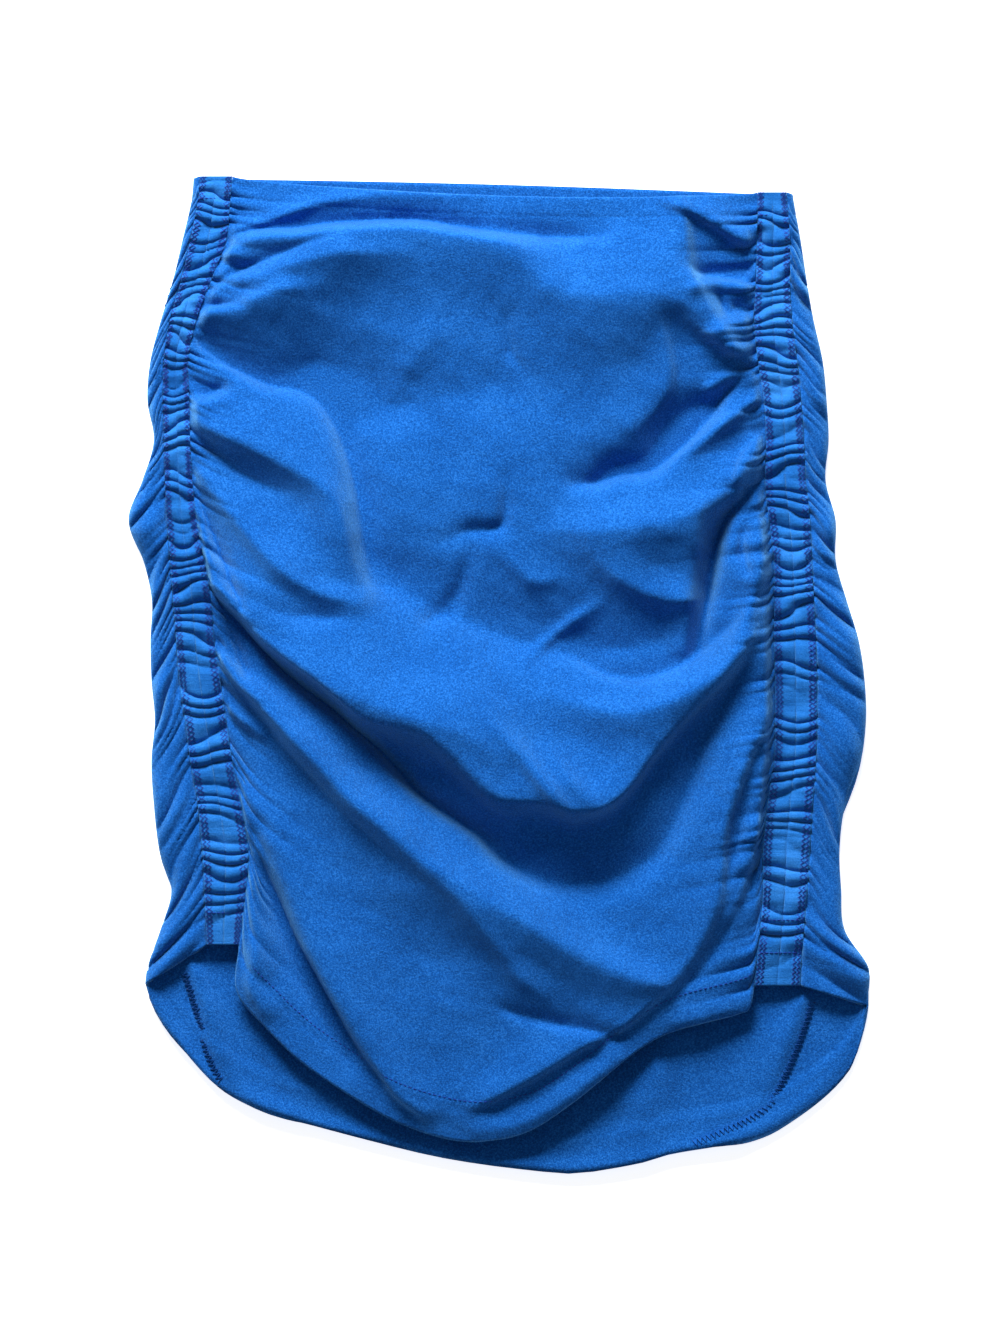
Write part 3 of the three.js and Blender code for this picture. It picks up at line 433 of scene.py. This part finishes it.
def curve_of(rows, columns, name):
    """One column of a table as a smooth function of its first column."""
    table = sorted(rows)
    at = np.array([row[0] for row in table], float)
    value = np.array([row[columns.index(name)] for row in table], float)
    slope = np.empty_like(value)
    slope[1:-1] = (value[2:] - value[:-2]) / (at[2:] - at[:-2])
    slope[0] = (value[1] - value[0]) / (at[1] - at[0])
    slope[-1] = (value[-1] - value[-2]) / (at[-1] - at[-2])

    def read(t):
        t = np.clip(t, at[0], at[-1])
        i = np.clip(np.searchsorted(at, t) - 1, 0, len(at) - 2)
        length = at[i + 1] - at[i]
        q = (t - at[i]) / length
        return (value[i] * (1 + 2 * q) * (1 - q) ** 2 + slope[i] * length * q * (1 - q) ** 2
                + value[i + 1] * q * q * (3 - 2 * q) + slope[i + 1] * length * q * q * (q - 1))

    return read


side_line = {name: curve_of(SIDE_LINES, SIDE_COLUMNS, name) for name in SIDE_COLUMNS[1:]}
hem_x = curve_of(FRONT_HEM, FRONT_HEM_COLUMNS, "x")
hem_y = curve_of(FRONT_HEM, FRONT_HEM_COLUMNS, "y")
back_hem_y = curve_of(BACK_HEM, BACK_HEM_COLUMNS, "y")


def wobble(x, y, seed):
    """Smooth unevenness from a few crossing waves, mostly between -1 and 1."""
    rng = np.random.default_rng(seed)
    total = 0.0
    for _ in range(5):
        angle = rng.uniform(0, np.pi)
        wave = rng.uniform(0.7, 1.4)
        phase = rng.uniform(0, 2 * np.pi)
        total = total + np.sin(wave * (x * np.cos(angle) + y * np.sin(angle)) + phase)
    return total / 3.0


def hem_layer(to_edge):
    """What a turned-in hem adds at a distance from its edge."""
    return HEM_LAYER * step((HEM_DEPTH + HEM_FADE - to_edge) / HEM_FADE)


def length_share(v):
    """Share of the way down to the hem at share v of the gathers."""
    return TIGHT_TOP * v + (1 - TIGHT_TOP) * v * v


def seam_y(side, v):
    return mix(WAIST_Y[side], BAND_END_Y[side], length_share(v))


def fold_y(side, v):
    return mix(WAIST_Y[side] - WAIST_STEP, HEM_CORNER_Y[side], length_share(v))


def ripple(v, side, shift=0.0):
    """Gathers down a seam: rounded crests with sharp creases between them."""
    seed = 0.0 if side == "left" else 2.0
    count = v * RIPPLES
    turn = count + 0.3 * np.sin(count * 1.93 + seed) + 0.5 * np.sin(count * 0.37 + seed) + shift
    uneven = 0.85 + 0.35 * np.sin(turn * 1.7 + seed) + 0.3 * np.sin(turn * 0.61 + 3 * seed)
    ends = step(v / FLAT_ENDS) * step((1 - v) / (2 * FLAT_ENDS))
    return (2.0 * np.abs(np.sin(np.pi * turn)) ** 0.75 - 1.1) * uneven * ends


def crest_samples(crest, per_span=5):
    """A fold's crest as short straight pieces: x, y, rise, left reach, right reach."""
    rows = np.array(crest, float)
    padded = np.vstack([2 * rows[0] - rows[1], rows, 2 * rows[-1] - rows[-2]])
    out = []
    for i in range(len(rows) - 1):
        p0, p1, p2, p3 = padded[i:i + 4]
        for k in range(per_span):
            t = k / per_span
            point = 0.5 * (2 * p1 + (p2 - p0) * t + (2 * p0 - 5 * p1 + 4 * p2 - p3) * t * t
                           + (3 * p1 - p0 - 3 * p2 + p3) * t ** 3)
            point[2:] = mix(p1[2:], p2[2:], t)
            out.append(point)
    out.append(rows[-1])
    return np.array(out)


def from_piece(a, b, x, y):
    """Distance from a straight piece of crest, distance to its left, share along it, and its left."""
    way = b[:2] - a[:2]
    length = np.hypot(*way)
    t = np.clip(((x - a[0]) * way[0] + (y - a[1]) * way[1]) / length ** 2, 0, 1)
    off_x, off_y = x - mix(a[0], b[0], t), y - mix(a[1], b[1], t)
    leftward = (way[0] * off_y - way[1] * off_x) / length
    return np.hypot(off_x, off_y), leftward, t, -way[1] / length, way[0] / length


def fold_at(line, x, y):
    """Height of one fold at each point, and the direction to the left of its crest there."""
    pieces = list(zip(line[:-1], line[1:]))
    nearest = np.full(x.shape, np.inf)
    for a, b in pieces:
        nearest = np.minimum(nearest, from_piece(a, b, x, y)[0])
    # Pieces almost as near as the nearest one count too, so that no step shows inside a bend.
    softness = 0.35 + 0.13 * nearest
    total, distance, share, rise, reach_l, reach_r, left_x, left_y = (np.zeros(x.shape) for _ in range(8))
    for a, b in pieces:
        away, leftward, t, across_x, across_y = from_piece(a, b, x, y)
        weight = np.exp(-(away - nearest) / softness)
        total += weight
        distance += weight * away
        share += weight * (0.5 + 0.5 * leftward / np.maximum(away, 1e-6))
        rise += weight * mix(a[2], b[2], t)
        reach_l += weight * mix(a[3], b[3], t)
        reach_r += weight * mix(a[4], b[4], t)
        left_x += weight * across_x
        left_y += weight * across_y
    # The crest itself stays where it is.
    distance = mix(nearest, distance / total, step(nearest / 4))
    reach = mix(reach_r, reach_l, share / total) / total
    height = rise / total * np.exp(-(distance / reach) ** FOLD_SHARPNESS)
    return height, left_x / total, left_y / total


def folds_at(folds, x, y):
    """Height that the folds add at each point, and how far they push the cloth sideways."""
    height, push_x, push_y = (np.zeros(x.shape) for _ in range(3))
    for lean, crest in folds.values():
        line = crest_samples(crest)
        end = FOLD_END * line[:, 3:].max()
        inside = ((x > line[:, 0].min() - end) & (x < line[:, 0].max() + end)
                  & (y > line[:, 1].min() - end) & (y < line[:, 1].max() + end))
        added, left_x, left_y = fold_at(line, x[inside], y[inside])
        push = lean * added / np.abs(line[:, 2]).max()
        height[inside] += added
        push_x[inside] += push * left_x
        push_y[inside] += push * left_y
    return height, push_x, push_y


# Surfaces. Each gives the middle of a wall at shares u across and v down it.

def front_gathers(u, v, x, y, inward):
    """Gathers that run in from both seams, and the wider folds that they run into."""
    left_share, left_shift = WIDE_GATHERS["left"]
    right_share, right_shift = WIDE_GATHERS["right"]
    narrow = np.where(u < 0.5, ripple(v, "left"), ripple(v, "right"))
    wide = np.where(u < 0.5, ripple(v * left_share, "left", left_shift),
                    ripple(v * right_share, "right", right_shift))
    strength = 0.8 + 0.5 * wobble(x / 30, y / 7, 41)
    wide_fade = step(inward / WIDE_HOLD) * np.exp(-inward / WIDE_REACH)
    return (PANEL_RIPPLE * narrow * strength * np.exp(-inward / RIPPLE_REACH)
            + WIDE_RIPPLE * wide * (1.7 - strength) * wide_fade)


def relief_at(x, y):
    """Small soft unevenness of loose cloth."""
    bend_x, bend_y = x + 4 * wobble(x / 9, y / 9, 11), y + 4 * wobble(x / 9, y / 9, 12)
    return sum(height * wobble(bend_x / wave, bend_y / wave, seed) for height, wave, seed in RELIEF)


def front_point(u, v):
    left_x = side_line["leftInner"](seam_y("left", v)) + SEAM_GAP
    right_x = side_line["rightInner"](seam_y("right", v)) - SEAM_GAP
    left_y, right_y = seam_y("left", v), seam_y("right", v)
    spread = hem_x(u) - mix(hem_x(0.0), hem_x(1.0), u)
    x = mix(left_x, right_x, u) + spread * v ** HEM_SPREAD
    dip = WAIST_DIP["front"] * np.abs(np.sin(np.pi * u)) ** 0.6
    drop = hem_y(u) - mix(BAND_END_Y["left"], BAND_END_Y["right"], u)
    down = length_share(v)
    y = mix(left_y, right_y, u) - dip * (1 - down) + drop * down ** 1.15

    inward = np.minimum(u, 1 - u) * (right_x - left_x)
    swell = 1 - np.exp(-(inward / PUFF_REACH) ** 1.5)
    belly = np.sin(np.pi * np.clip(v, 0, 1)) ** 0.6
    base = BAND_LEVEL + swell * (mix(MOUTH_LEVEL, BASIN_LEVEL, belly) - BAND_LEVEL)

    free = step(inward / SEAM_HOLD)
    height, push_x, push_y = folds_at(FRONT_FOLDS, x, y)
    raw = base + height * free + front_gathers(u, v, x, y, inward) + relief_at(x, y) * free

    # The cloth rounds off to a least level, which keeps the hollow inside open.
    over = step((HOLLOW_HALF_WIDTH + HOLLOW_EDGE - np.abs(x)) / HOLLOW_EDGE)
    least = mix(LEAST_LEVEL, HOLLOW_LEVEL, over)
    above = raw - least
    z = least + 0.5 * (above + np.hypot(above, 1.0))
    return np.stack([x + push_x * free, y + push_y * free, z], axis=-1)


def back_floor_point(across, v):
    left_x = side_line["leftFold"](fold_y("left", v)) + TURN_UNDER
    right_x = side_line["rightFold"](fold_y("right", v)) - TURN_UNDER
    x = mix(left_x, right_x, across)
    full = np.clip((x - left_x + TURN_UNDER) / (right_x - left_x + 2 * TURN_UNDER), 0, 1)
    dip = WAIST_DIP["back"] * np.sin(np.pi * np.clip(across, 0, 1))
    top = mix(WAIST_Y["left"], WAIST_Y["right"], across) - WAIST_STEP - dip
    y = mix(top, back_hem_y(full), length_share(v))
    height, push_x, push_y = folds_at(BACK_FOLDS, x, y)
    free = step(v / 0.5)  # no folds at the waist
    return np.stack([x + push_x * free, y + push_y * free, CLOTH / 2 + height * free], axis=-1)


def back_side_point(side, around, v):
    """The back beside a band: around is 0 at the band, 1 at the fold and 2 where it lies on the floor."""
    out = -1 if side == "left" else 1
    band_y, turn_y = seam_y(side, v), fold_y(side, v)
    band_x = side_line[side + "Outer"](band_y) + out * SEAM_GAP
    fold_x = side_line[side + "Fold"](turn_y)
    floor = back_floor_point(np.full_like(v, 0.0 if side == "left" else 1.0), v)
    angle = around * np.pi / 2

    under = 1 - np.sin(angle)
    roundness = np.sqrt(np.clip(1 - under ** 2, 0, 1))
    low = np.stack([
        mix(fold_x, floor[..., 0], under),
        mix(turn_y, floor[..., 1], under ** HEM_SQUARENESS),
        floor[..., 2] + (ROLL_LEVEL - floor[..., 2]) * (1 + np.cos(angle)) * roundness,
    ], axis=-1)

    share = np.sin(angle)
    x, y = mix(band_x, fold_x, share), mix(band_y, turn_y, share)
    slant = v - SIDE_SLANT * share * (1 + 0.5 * wobble(share, 60 * v, 31))
    strength = 0.75 + 0.5 * wobble(2 * share, 70 * v, 33)
    fade = np.exp(-np.abs(x - band_x) / SIDE_RIPPLE_REACH) * (1 - share ** 2)
    gathers = PANEL_RIPPLE * ripple(slant, side) * fade * strength
    wide_share, wide_shift = WIDE_GATHERS["back"]
    wide = SIDE_WIDE_RIPPLE * ripple(slant * wide_share, side, wide_shift)
    wide = wide * np.sin(2 * angle) * (1.2 - 0.6 * strength)
    bulge = sum(rise * np.exp(-((y - at) / reach) ** 2)
                for where, at, reach, rise in POUCHES if where == side)
    z = ROLL_LEVEL + (BAND_LEVEL - ROLL_LEVEL) * np.cos(angle) + gathers + wide + bulge * np.sin(2 * angle)
    high = np.stack([x, y, z], axis=-1)
    return np.where((around > 1)[..., None], low, high)


def back_point(u, v):
    """The back panel from the right band, round underneath, to the left band."""
    u = 1 - u
    left = back_side_point("left", np.clip(2 * u / SIDE_SHARE, 0, 2), v)
    right = back_side_point("right", np.clip(2 * (1 - u) / SIDE_SHARE, 0, 2), v)
    floor = back_floor_point(np.clip((u - SIDE_SHARE) / (1 - 2 * SIDE_SHARE), 0, 1), v)
    out = np.where((u < SIDE_SHARE)[..., None], left, floor)
    return np.where((u > 1 - SIDE_SHARE)[..., None], right, out)


def above_back_hem(x, y):
    """Distance up from the lower hem of the back panel."""
    left, right = (side_line[side + "Fold"](HEM_CORNER_Y[side]) for side in ("left", "right"))
    return y - back_hem_y((x - left) / (right - left))


def band_point(side):
    first, second = ("leftOuter", "leftInner") if side == "left" else ("rightInner", "rightOuter")

    def point(u, v):
        y = seam_y(side, v)
        x = mix(side_line[first](y), side_line[second](y), u)
        # Two puffs side by side, which the zigzag rows and the seam in the middle hold down
        puff = 0.55 + 0.45 * np.abs(np.sin(2 * np.pi * np.clip((u - 0.1) / 0.8, 0, 1)))
        lag = 0.3 * np.sin(np.pi * u + v * 31) + 0.25 * wobble(4 * u, 90 * v, 21)
        crinkle = 0.35 * wobble(3 * u, 420 * v, 23) * step(v / 0.06) * step((1 - v) / 0.08)
        seam = 0.5 * np.exp(-((u - 0.5) / 0.035) ** 2)
        z = BAND_LEVEL + puff * (BAND_RIPPLE * ripple(v, side, lag) + crinkle) - seam * step(v / 0.06)
        return np.stack([x, y, z], axis=-1)

    return point


# Meshes

def normals_of(points):
    """Directions out of a surface. Both sides count as level across, so that walls end upright there."""
    across = np.gradient(points, axis=1)
    down = np.gradient(points, axis=0)
    normal = np.cross(down, across)
    for column in (0, -1):
        flat = np.stack([-down[:, column, 1], down[:, column, 0], 0 * down[:, column, 0]], axis=-1)
        normal[:, column] = np.cross(down[:, column], flat)
    return normal / np.linalg.norm(normal, axis=-1, keepdims=True)


def mesh_object(name, vertices, faces, material):
    mesh = bpy.data.meshes.new(name)
    mesh.from_pydata((np.asarray(vertices) * MM).tolist(), [], faces)
    mesh.materials.append(material)
    mesh.polygons.foreach_set("use_smooth", [True] * len(mesh.polygons))
    mesh.update()
    obj = bpy.data.objects.new(name, mesh)
    bpy.context.scene.collection.objects.link(obj)
    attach(obj, "root")
    return obj


def sag(middle, normal):
    """How far a face with every second row and column would stand above a surface in its creases."""
    depth = np.zeros(middle.shape[:2])
    depth[1:-1] = (((middle[:-2] + middle[2:]) / 2 - middle[1:-1]) * normal[1:-1]).sum(axis=-1)
    across = (((middle[:, :-2] + middle[:, 2:]) / 2 - middle[:, 1:-1]) * normal[:, 1:-1]).sum(axis=-1)
    depth[:, 1:-1] = np.maximum(depth[:, 1:-1], across)
    depth = np.pad(np.clip(depth, 0, 1.5), 1)
    rows = np.maximum(np.maximum(depth[:-2], depth[1:-1]), depth[2:])
    return np.maximum(np.maximum(rows[:, :-2], rows[:, 1:-1]), rows[:, 2:])


def quads(grid, order):
    """A face between each two rows and columns of point numbers, with its corners in this order."""
    corners = (grid[:-1, :-1], grid[1:, :-1], grid[1:, 1:], grid[:-1, 1:])
    return np.stack([corners[k] for k in order], axis=-1).reshape(-1, 4).tolist()


def wall(name, point, us, vs, material, thick=CLOTH, hemmed=True):
    """A closed wall round the middle surface that point gives at the shares us across and vs down."""
    u, v = np.meshgrid(us, vs)
    middle = point(u, v)
    normal = normals_of(middle)
    extra = np.zeros(u.shape)
    if hemmed:
        length = np.linalg.norm(np.diff(middle, axis=0), axis=-1).sum(axis=0)
        to_edge = np.minimum(v, 1 - v) * length
        extra = hem_layer(to_edge)
        groove = STITCH_DIMPLE * np.exp(-(to_edge - HEM_DEPTH) ** 2)
        middle = middle - normal * groove[..., None]
    outer = middle + normal * thick / 2
    inner = middle - normal * (thick / 2 + extra + sag(middle, normal))[..., None]
    outer[..., 2] = np.maximum(outer[..., 2], 0.0)
    inner[..., 2] = np.maximum(inner[..., 2], 0.0)
    # The inner face has every second row and column, and each rim face joins two spans to one.
    inner = inner[::2, ::2]
    rows, columns = u.shape
    number = np.arange(rows * columns).reshape(rows, columns)
    under = np.arange(inner.shape[0] * inner.shape[1]).reshape(inner.shape[:2]) + rows * columns
    faces = quads(number, (0, 1, 2, 3)) + quads(under, (0, 3, 2, 1))
    rims = ((number[0], under[0], 1), (number[-1], under[-1], -1),
            (number[:, 0], under[:, 0], -1), (number[:, -1], under[:, -1], 1))
    for line, below, turn in rims:
        rim = np.stack([line[:-2:2], line[1:-1:2], line[2::2], below[1:], below[:-1]], 1)
        faces += rim[:, ::turn].tolist()
    vertices = np.concatenate([outer.reshape(-1, 3), inner.reshape(-1, 3)])
    return mesh_object(name, vertices, faces, material)


def along(points, spacing):
    """Points at about this spacing along a line of points."""
    points = np.asarray(points, float)
    lengths = np.linalg.norm(np.diff(points, axis=0), axis=1)
    at = np.concatenate([[0], np.cumsum(lengths)])
    wanted = np.linspace(0, at[-1], max(2, int(at[-1] / spacing)))
    return np.stack([np.interp(wanted, at, points[:, k]) for k in range(3)], axis=1)


def aside_of(line):
    """Directions to the left of a line, for someone who walks along it."""
    way = np.gradient(line, axis=0)
    aside = np.stack([-way[:, 1], way[:, 0], 0 * way[:, 0]], axis=-1)
    return aside / np.linalg.norm(aside, axis=1, keepdims=True)


class Threads:
    """Pieces of thread collected into one mesh."""

    SIDES = 5
    TIP = 0.55  # share of the radius that is left at both tips

    def __init__(self):
        self.vertices, self.faces = [], []

    def add(self, path, radius):
        path = np.asarray(path, float)
        start = len(self.vertices)
        tangent = np.gradient(path, axis=0)
        tangent /= np.linalg.norm(tangent, axis=1, keepdims=True) + 1e-9
        side = np.cross(tangent, [0.0, 0.0, 1.0])
        side /= np.linalg.norm(side, axis=1, keepdims=True) + 1e-9
        up = np.cross(side, tangent)
        for i, centre in enumerate(path):
            r = radius * (self.TIP if i in (0, len(path) - 1) else 1.0)
            for k in range(self.SIDES):
                angle = 2 * np.pi * k / self.SIDES
                self.vertices.append(centre + r * (np.cos(angle) * side[i] + np.sin(angle) * up[i]))
        n = self.SIDES
        for i in range(len(path) - 1):
            for k in range(n):
                a = start + i * n + k
                b = start + i * n + (k + 1) % n
                self.faces.append([a, b, b + n, a + n])
        last = start + (len(path) - 1) * n
        self.faces.append([start + k for k in range(n)][::-1])
        self.faces.append([last + k for k in range(n)])

    def dashes(self, line, pitch, dash, radius, lift):
        """A row of straight stitches."""
        points = along(line, pitch / 4)
        for a, b in zip(points[:-4:4], points[4::4]):
            half = (b - a) * 0.5 * dash / pitch
            middle = mix(a, b, 0.5)
            self.add([middle - half, middle + [0, 0, lift], middle + half], radius)

    def zigzag(self, line, pitch, width, radius, height=None):
        """A row of zigzag stitches, or of overlock loops where it is wide. height sets z at x and y."""
        points = along(line, pitch / 2)
        turns = np.where(np.arange(len(points)) % 2 == 0, 0.5, -0.5)
        points = points + aside_of(points) * width * turns[:, None]
        if height:
            points[:, 2] = height(points[:, 0], points[:, 1])
        self.add(points, radius)

    def build(self, name, material):
        return mesh_object(name, self.vertices, self.faces, material)


# Materials

def new_material(name):
    material = bpy.data.materials.new(name)
    material.use_nodes = True
    nodes = material.node_tree.nodes
    return material, nodes, material.node_tree.links, nodes["Principled BSDF"]


def set_inputs(node, values):
    for name, value in values.items():
        node.inputs[name].default_value = value


def noise(nodes, links, vector, scale, detail=2.0, roughness=0.5):
    node = nodes.new("ShaderNodeTexNoise")
    set_inputs(node, {"Scale": scale, "Detail": detail, "Roughness": roughness})
    links.new(vector, node.inputs["Vector"])
    return node.outputs["Fac"]


def colour_ramp(nodes, links, factor, stops):
    """Colours at places between 0 and 1: two stops or more, as place and colour."""
    node = nodes.new("ShaderNodeValToRGB")
    elements = node.color_ramp.elements
    first, last = elements[0], elements[1]
    first.position, last.position = stops[0][0], stops[-1][0]
    first.color, last.color = (*stops[0][1], 1), (*stops[-1][1], 1)
    for place, colour in stops[1:-1]:
        elements.new(place).color = (*colour, 1)
    links.new(factor, node.inputs["Fac"])
    return node.outputs["Color"]


def bump(nodes, links, height, strength, distance, normal=None):
    node = nodes.new("ShaderNodeBump")
    set_inputs(node, {"Strength": strength, "Distance": distance})
    links.new(height, node.inputs["Height"])
    if normal:
        links.new(normal, node.inputs["Normal"])
    return node.outputs["Normal"]


def cloth_material(name, dark, mid, light, roughness, sheen, nap, nap_size, streaks):
    """Brushed jersey: colour that varies with the nap, fine bump and a soft sheen.

    nap is its share against broad patches in the colour, and streaks stretches the broad bump.
    """
    material, nodes, links, shader = new_material(name)
    set_inputs(shader, {"Roughness": roughness, "Specular IOR Level": 0.03, "Sheen Weight": sheen,
                        "Sheen Roughness": 0.5, "Sheen Tint": (0.22, 0.62, 1.0, 1.0)})

    place = nodes.new("ShaderNodeTexCoord").outputs["Object"]
    patches = noise(nodes, links, place, 38.0, 4.0, 0.6)
    fibres = noise(nodes, links, place, 1.0 / nap_size, 5.0, 0.75)
    blend = nodes.new("ShaderNodeMix")
    blend.data_type = "FLOAT"
    set_inputs(blend, {"Factor": nap})
    links.new(patches, blend.inputs["A"])
    links.new(fibres, blend.inputs["B"])
    colour = colour_ramp(nodes, links, blend.outputs["Result"], [(0.39, dark), (0.5, mid), (0.61, light)])
    links.new(colour, shader.inputs["Base Color"])

    stretch = nodes.new("ShaderNodeMapping")
    set_inputs(stretch, {"Scale": streaks})
    links.new(place, stretch.inputs["Vector"])
    soft = noise(nodes, links, stretch.outputs["Vector"], 160.0, 3.0)
    fine = bump(nodes, links, fibres, 0.8, 0.0006)
    links.new(bump(nodes, links, soft, 0.35, 0.0012, fine), shader.inputs["Normal"])
    return material


def thread_material(name, dark, light):
    material, nodes, links, shader = new_material(name)
    set_inputs(shader, {"Roughness": 0.8, "Specular IOR Level": 0.1, "Sheen Weight": 0.1})
    place = nodes.new("ShaderNodeTexCoord").outputs["Object"]
    twist = noise(nodes, links, place, 2200.0)
    links.new(colour_ramp(nodes, links, twist, [(0.0, dark), (1.0, light)]), shader.inputs["Base Color"])
    return material


JERSEY = cloth_material(
    "brushed_jersey", dark=(0.0006, 0.046, 0.228), mid=(0.003, 0.083, 0.367), light=(0.016, 0.15, 0.535),
    roughness=0.92, sheen=0.62, nap=0.86, nap_size=0.0009, streaks=(1.0, 1.0, 1.0))
BAND = cloth_material(
    "gathered_band", dark=(0.004, 0.08, 0.33), mid=(0.01, 0.125, 0.44), light=(0.025, 0.18, 0.56),
    roughness=0.72, sheen=0.5, nap=0.5, nap_size=0.0008, streaks=(0.25, 3.0, 1.0))
THREAD = thread_material("seam_thread", (0.003, 0.018, 0.18), (0.008, 0.045, 0.36))
OVERLOCK = thread_material("overlock_thread", (0.0, 0.04, 0.2), (0.003, 0.085, 0.38))


# The skirt

def front_columns():
    """Shares across the front, closer together near the seams."""
    edge = np.array(FRONT_EDGE_COLUMNS) / FRONT_WIDTH
    middle = np.linspace(edge[-1], 1 - edge[-1], FRONT_MIDDLE_COLUMNS)[1:-1]
    return np.concatenate([edge, middle, (1 - edge)[::-1]])


def back_columns():
    """Shares across the back, closer together beside the bands and at the rolled edges."""
    beside = np.concatenate([np.linspace(0, 0.9, 19), [1.0, 1.12, 1.27, 1.44, 1.62, 1.8]]) / 2 * SIDE_SHARE
    right_roll = np.linspace(0, 0.25, 49)[:-1]
    between = np.linspace(0.25, 0.68, 25)
    left_roll = np.linspace(0.68, 1, 59)[1:]
    floor = mix(SIDE_SHARE, 1 - SIDE_SHARE, np.concatenate([right_roll, between, left_roll]))
    return np.concatenate([beside, floor, (1 - beside)[::-1]])


def on_top(point, us, vs, lift):
    """Points a little above the middle of a wall."""
    return point(*np.meshgrid(us, vs)) + [0, 0, lift]


def add_band(side, stitches):
    """A seam band, two rows of zigzag stitches down each of its edges, and the hems' rows across it."""
    point = band_point(side)
    cloth = wall("band_" + side, point, BAND_COLUMNS, BAND_DOWN, BAND,
                 thick=BAND_WALL, hemmed=False)
    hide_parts("seam_band_" + side)
    down = on_top(point, STITCH_ROWS, BAND_DOWN, BAND_WALL / 2 + 0.15)
    for k in range(len(STITCH_ROWS)):
        stitches.zigzag(down[:, k], pitch=2.4, width=1.6, radius=0.3)
    across = on_top(point, np.linspace(0.04, 0.96, 30), CROSS_ROWS, BAND_WALL / 2 + 0.1)
    for row in across:
        stitches.dashes(row, pitch=2.3, dash=1.7, radius=0.3, lift=0.12)


def overlock_height(x, y):
    """Middle of a thread that lies on the inside of the back panel, near its lower hem."""
    return CLOTH + hem_layer(above_back_hem(x, y)) + folds_at(BACK_FOLDS, x, y)[0] + 0.45


def add_overlock(threads, name, turn):
    """Loops over the raw edge of the turned hem, outside a rolled edge of the back.

    turn is 1 if that is on the left for someone who walks along the edge's crest, or else -1.
    """
    crest = crest_samples(BACK_FOLDS[name][1])[:, :2]
    line = np.column_stack([crest, np.zeros(len(crest))])
    line = line + aside_of(line) * OVERLOCK_OFFSET * turn
    line = line[above_back_hem(line[:, 0], line[:, 1]) > OVERLOCK_CLEARANCE]
    threads.zigzag(line, pitch=2.4, width=3.4, radius=0.42, height=overlock_height)


rows_down = np.linspace(0, 1, ROWS)
front_shell = wall("front_shell", front_point, front_columns(), rows_down, JERSEY)
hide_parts("front_panel")
back_shell = wall("back_shell", back_point, back_columns(), rows_down, JERSEY)
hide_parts("back_panel")

band_stitches = Threads()
for side in ("left", "right"):
    add_band(side, band_stitches)
band_stitches.build("band_stitches", THREAD)

overlock = Threads()
add_overlock(overlock, "left_roll", -1)
add_overlock(overlock, "right_roll", 1)
overlock.build("overlock", OVERLOCK)

# A row above the front hem, and one on the inside of the back's waist hem, above the front's edge
hem_stitches = Threads()
hem_row = on_top(front_point, np.linspace(0.03, 0.985, 240), [HEM_ROW], CLOTH / 2 + 0.05)
hem_stitches.dashes(hem_row[0], pitch=2.6, dash=1.6, radius=0.26, lift=0.08)
waist_row = on_top(back_floor_point, np.linspace(0.08, 0.97, 200), [WAIST_ROW], CLOTH / 2 + 0.1)
hem_stitches.dashes(waist_row[0], pitch=2.2, dash=1.6, radius=0.3, lift=0.1)
hem_stitches.build("hem_stitches", THREAD)


# Floor, light and camera

def add_floor(half=12.0, z=-0.0004):
    """A pale floor that is a little below the skirt, and bright enough to show white."""
    mesh = bpy.data.meshes.new("floor")
    corners = [(-half, -half, z), (half, -half, z), (half, half, z), (-half, half, z)]
    mesh.from_pydata(corners, [], [(0, 1, 2, 3)])
    floor = bpy.data.objects.new("floor", mesh)
    bpy.context.scene.collection.objects.link(floor)
    material, _, _, shader = new_material("white_floor")
    set_inputs(shader, {"Base Color": (0.92, 0.92, 0.92, 1), "Roughness": 0.9, "Specular IOR Level": 0.1,
                        "Emission Color": (1, 1, 1, 1), "Emission Strength": 0.75})
    mesh.materials.append(material)


def add_window(position=(-0.42, 2.04, 1.1), width=1.2, height=0.7, power=150):
    """Low light from the waist end and a little from the left, aimed at the skirt."""
    data = bpy.data.lights.new("window", "AREA")
    data.shape = "RECTANGLE"
    data.size, data.size_y = width, height
    data.energy = power
    light = bpy.data.objects.new("window", data)
    light.location = position
    light.rotation_euler = (-Vector(position)).to_track_quat("-Z", "Y").to_euler()
    bpy.context.scene.collection.objects.link(light)


def add_world():
    """Weak even light from all round."""
    world = bpy.data.worlds.new("studio")
    world.use_nodes = True
    set_inputs(world.node_tree.nodes["Background"], {"Color": (0.93, 0.96, 1.0, 1), "Strength": 0.25})
    bpy.context.scene.world = world


def add_camera(height=3.0, level=0.008, picture_height=0.6665, centre=(0.001, 0.00275)):
    """Straight above. The picture is picture_height high at this level above the floor."""
    data = bpy.data.cameras.new("camera")
    data.sensor_fit = "VERTICAL"
    data.sensor_height = 36.0
    data.lens = data.sensor_height * (height - level) / picture_height
    camera = bpy.data.objects.new("camera", data)
    camera.location = (*centre, height)
    bpy.context.scene.collection.objects.link(camera)
    bpy.context.scene.camera = camera


add_floor()
add_window()
add_world()
add_camera()
bpy.context.scene.view_settings.view_transform = "Standard"
bpy.context.scene.view_settings.look = "None"
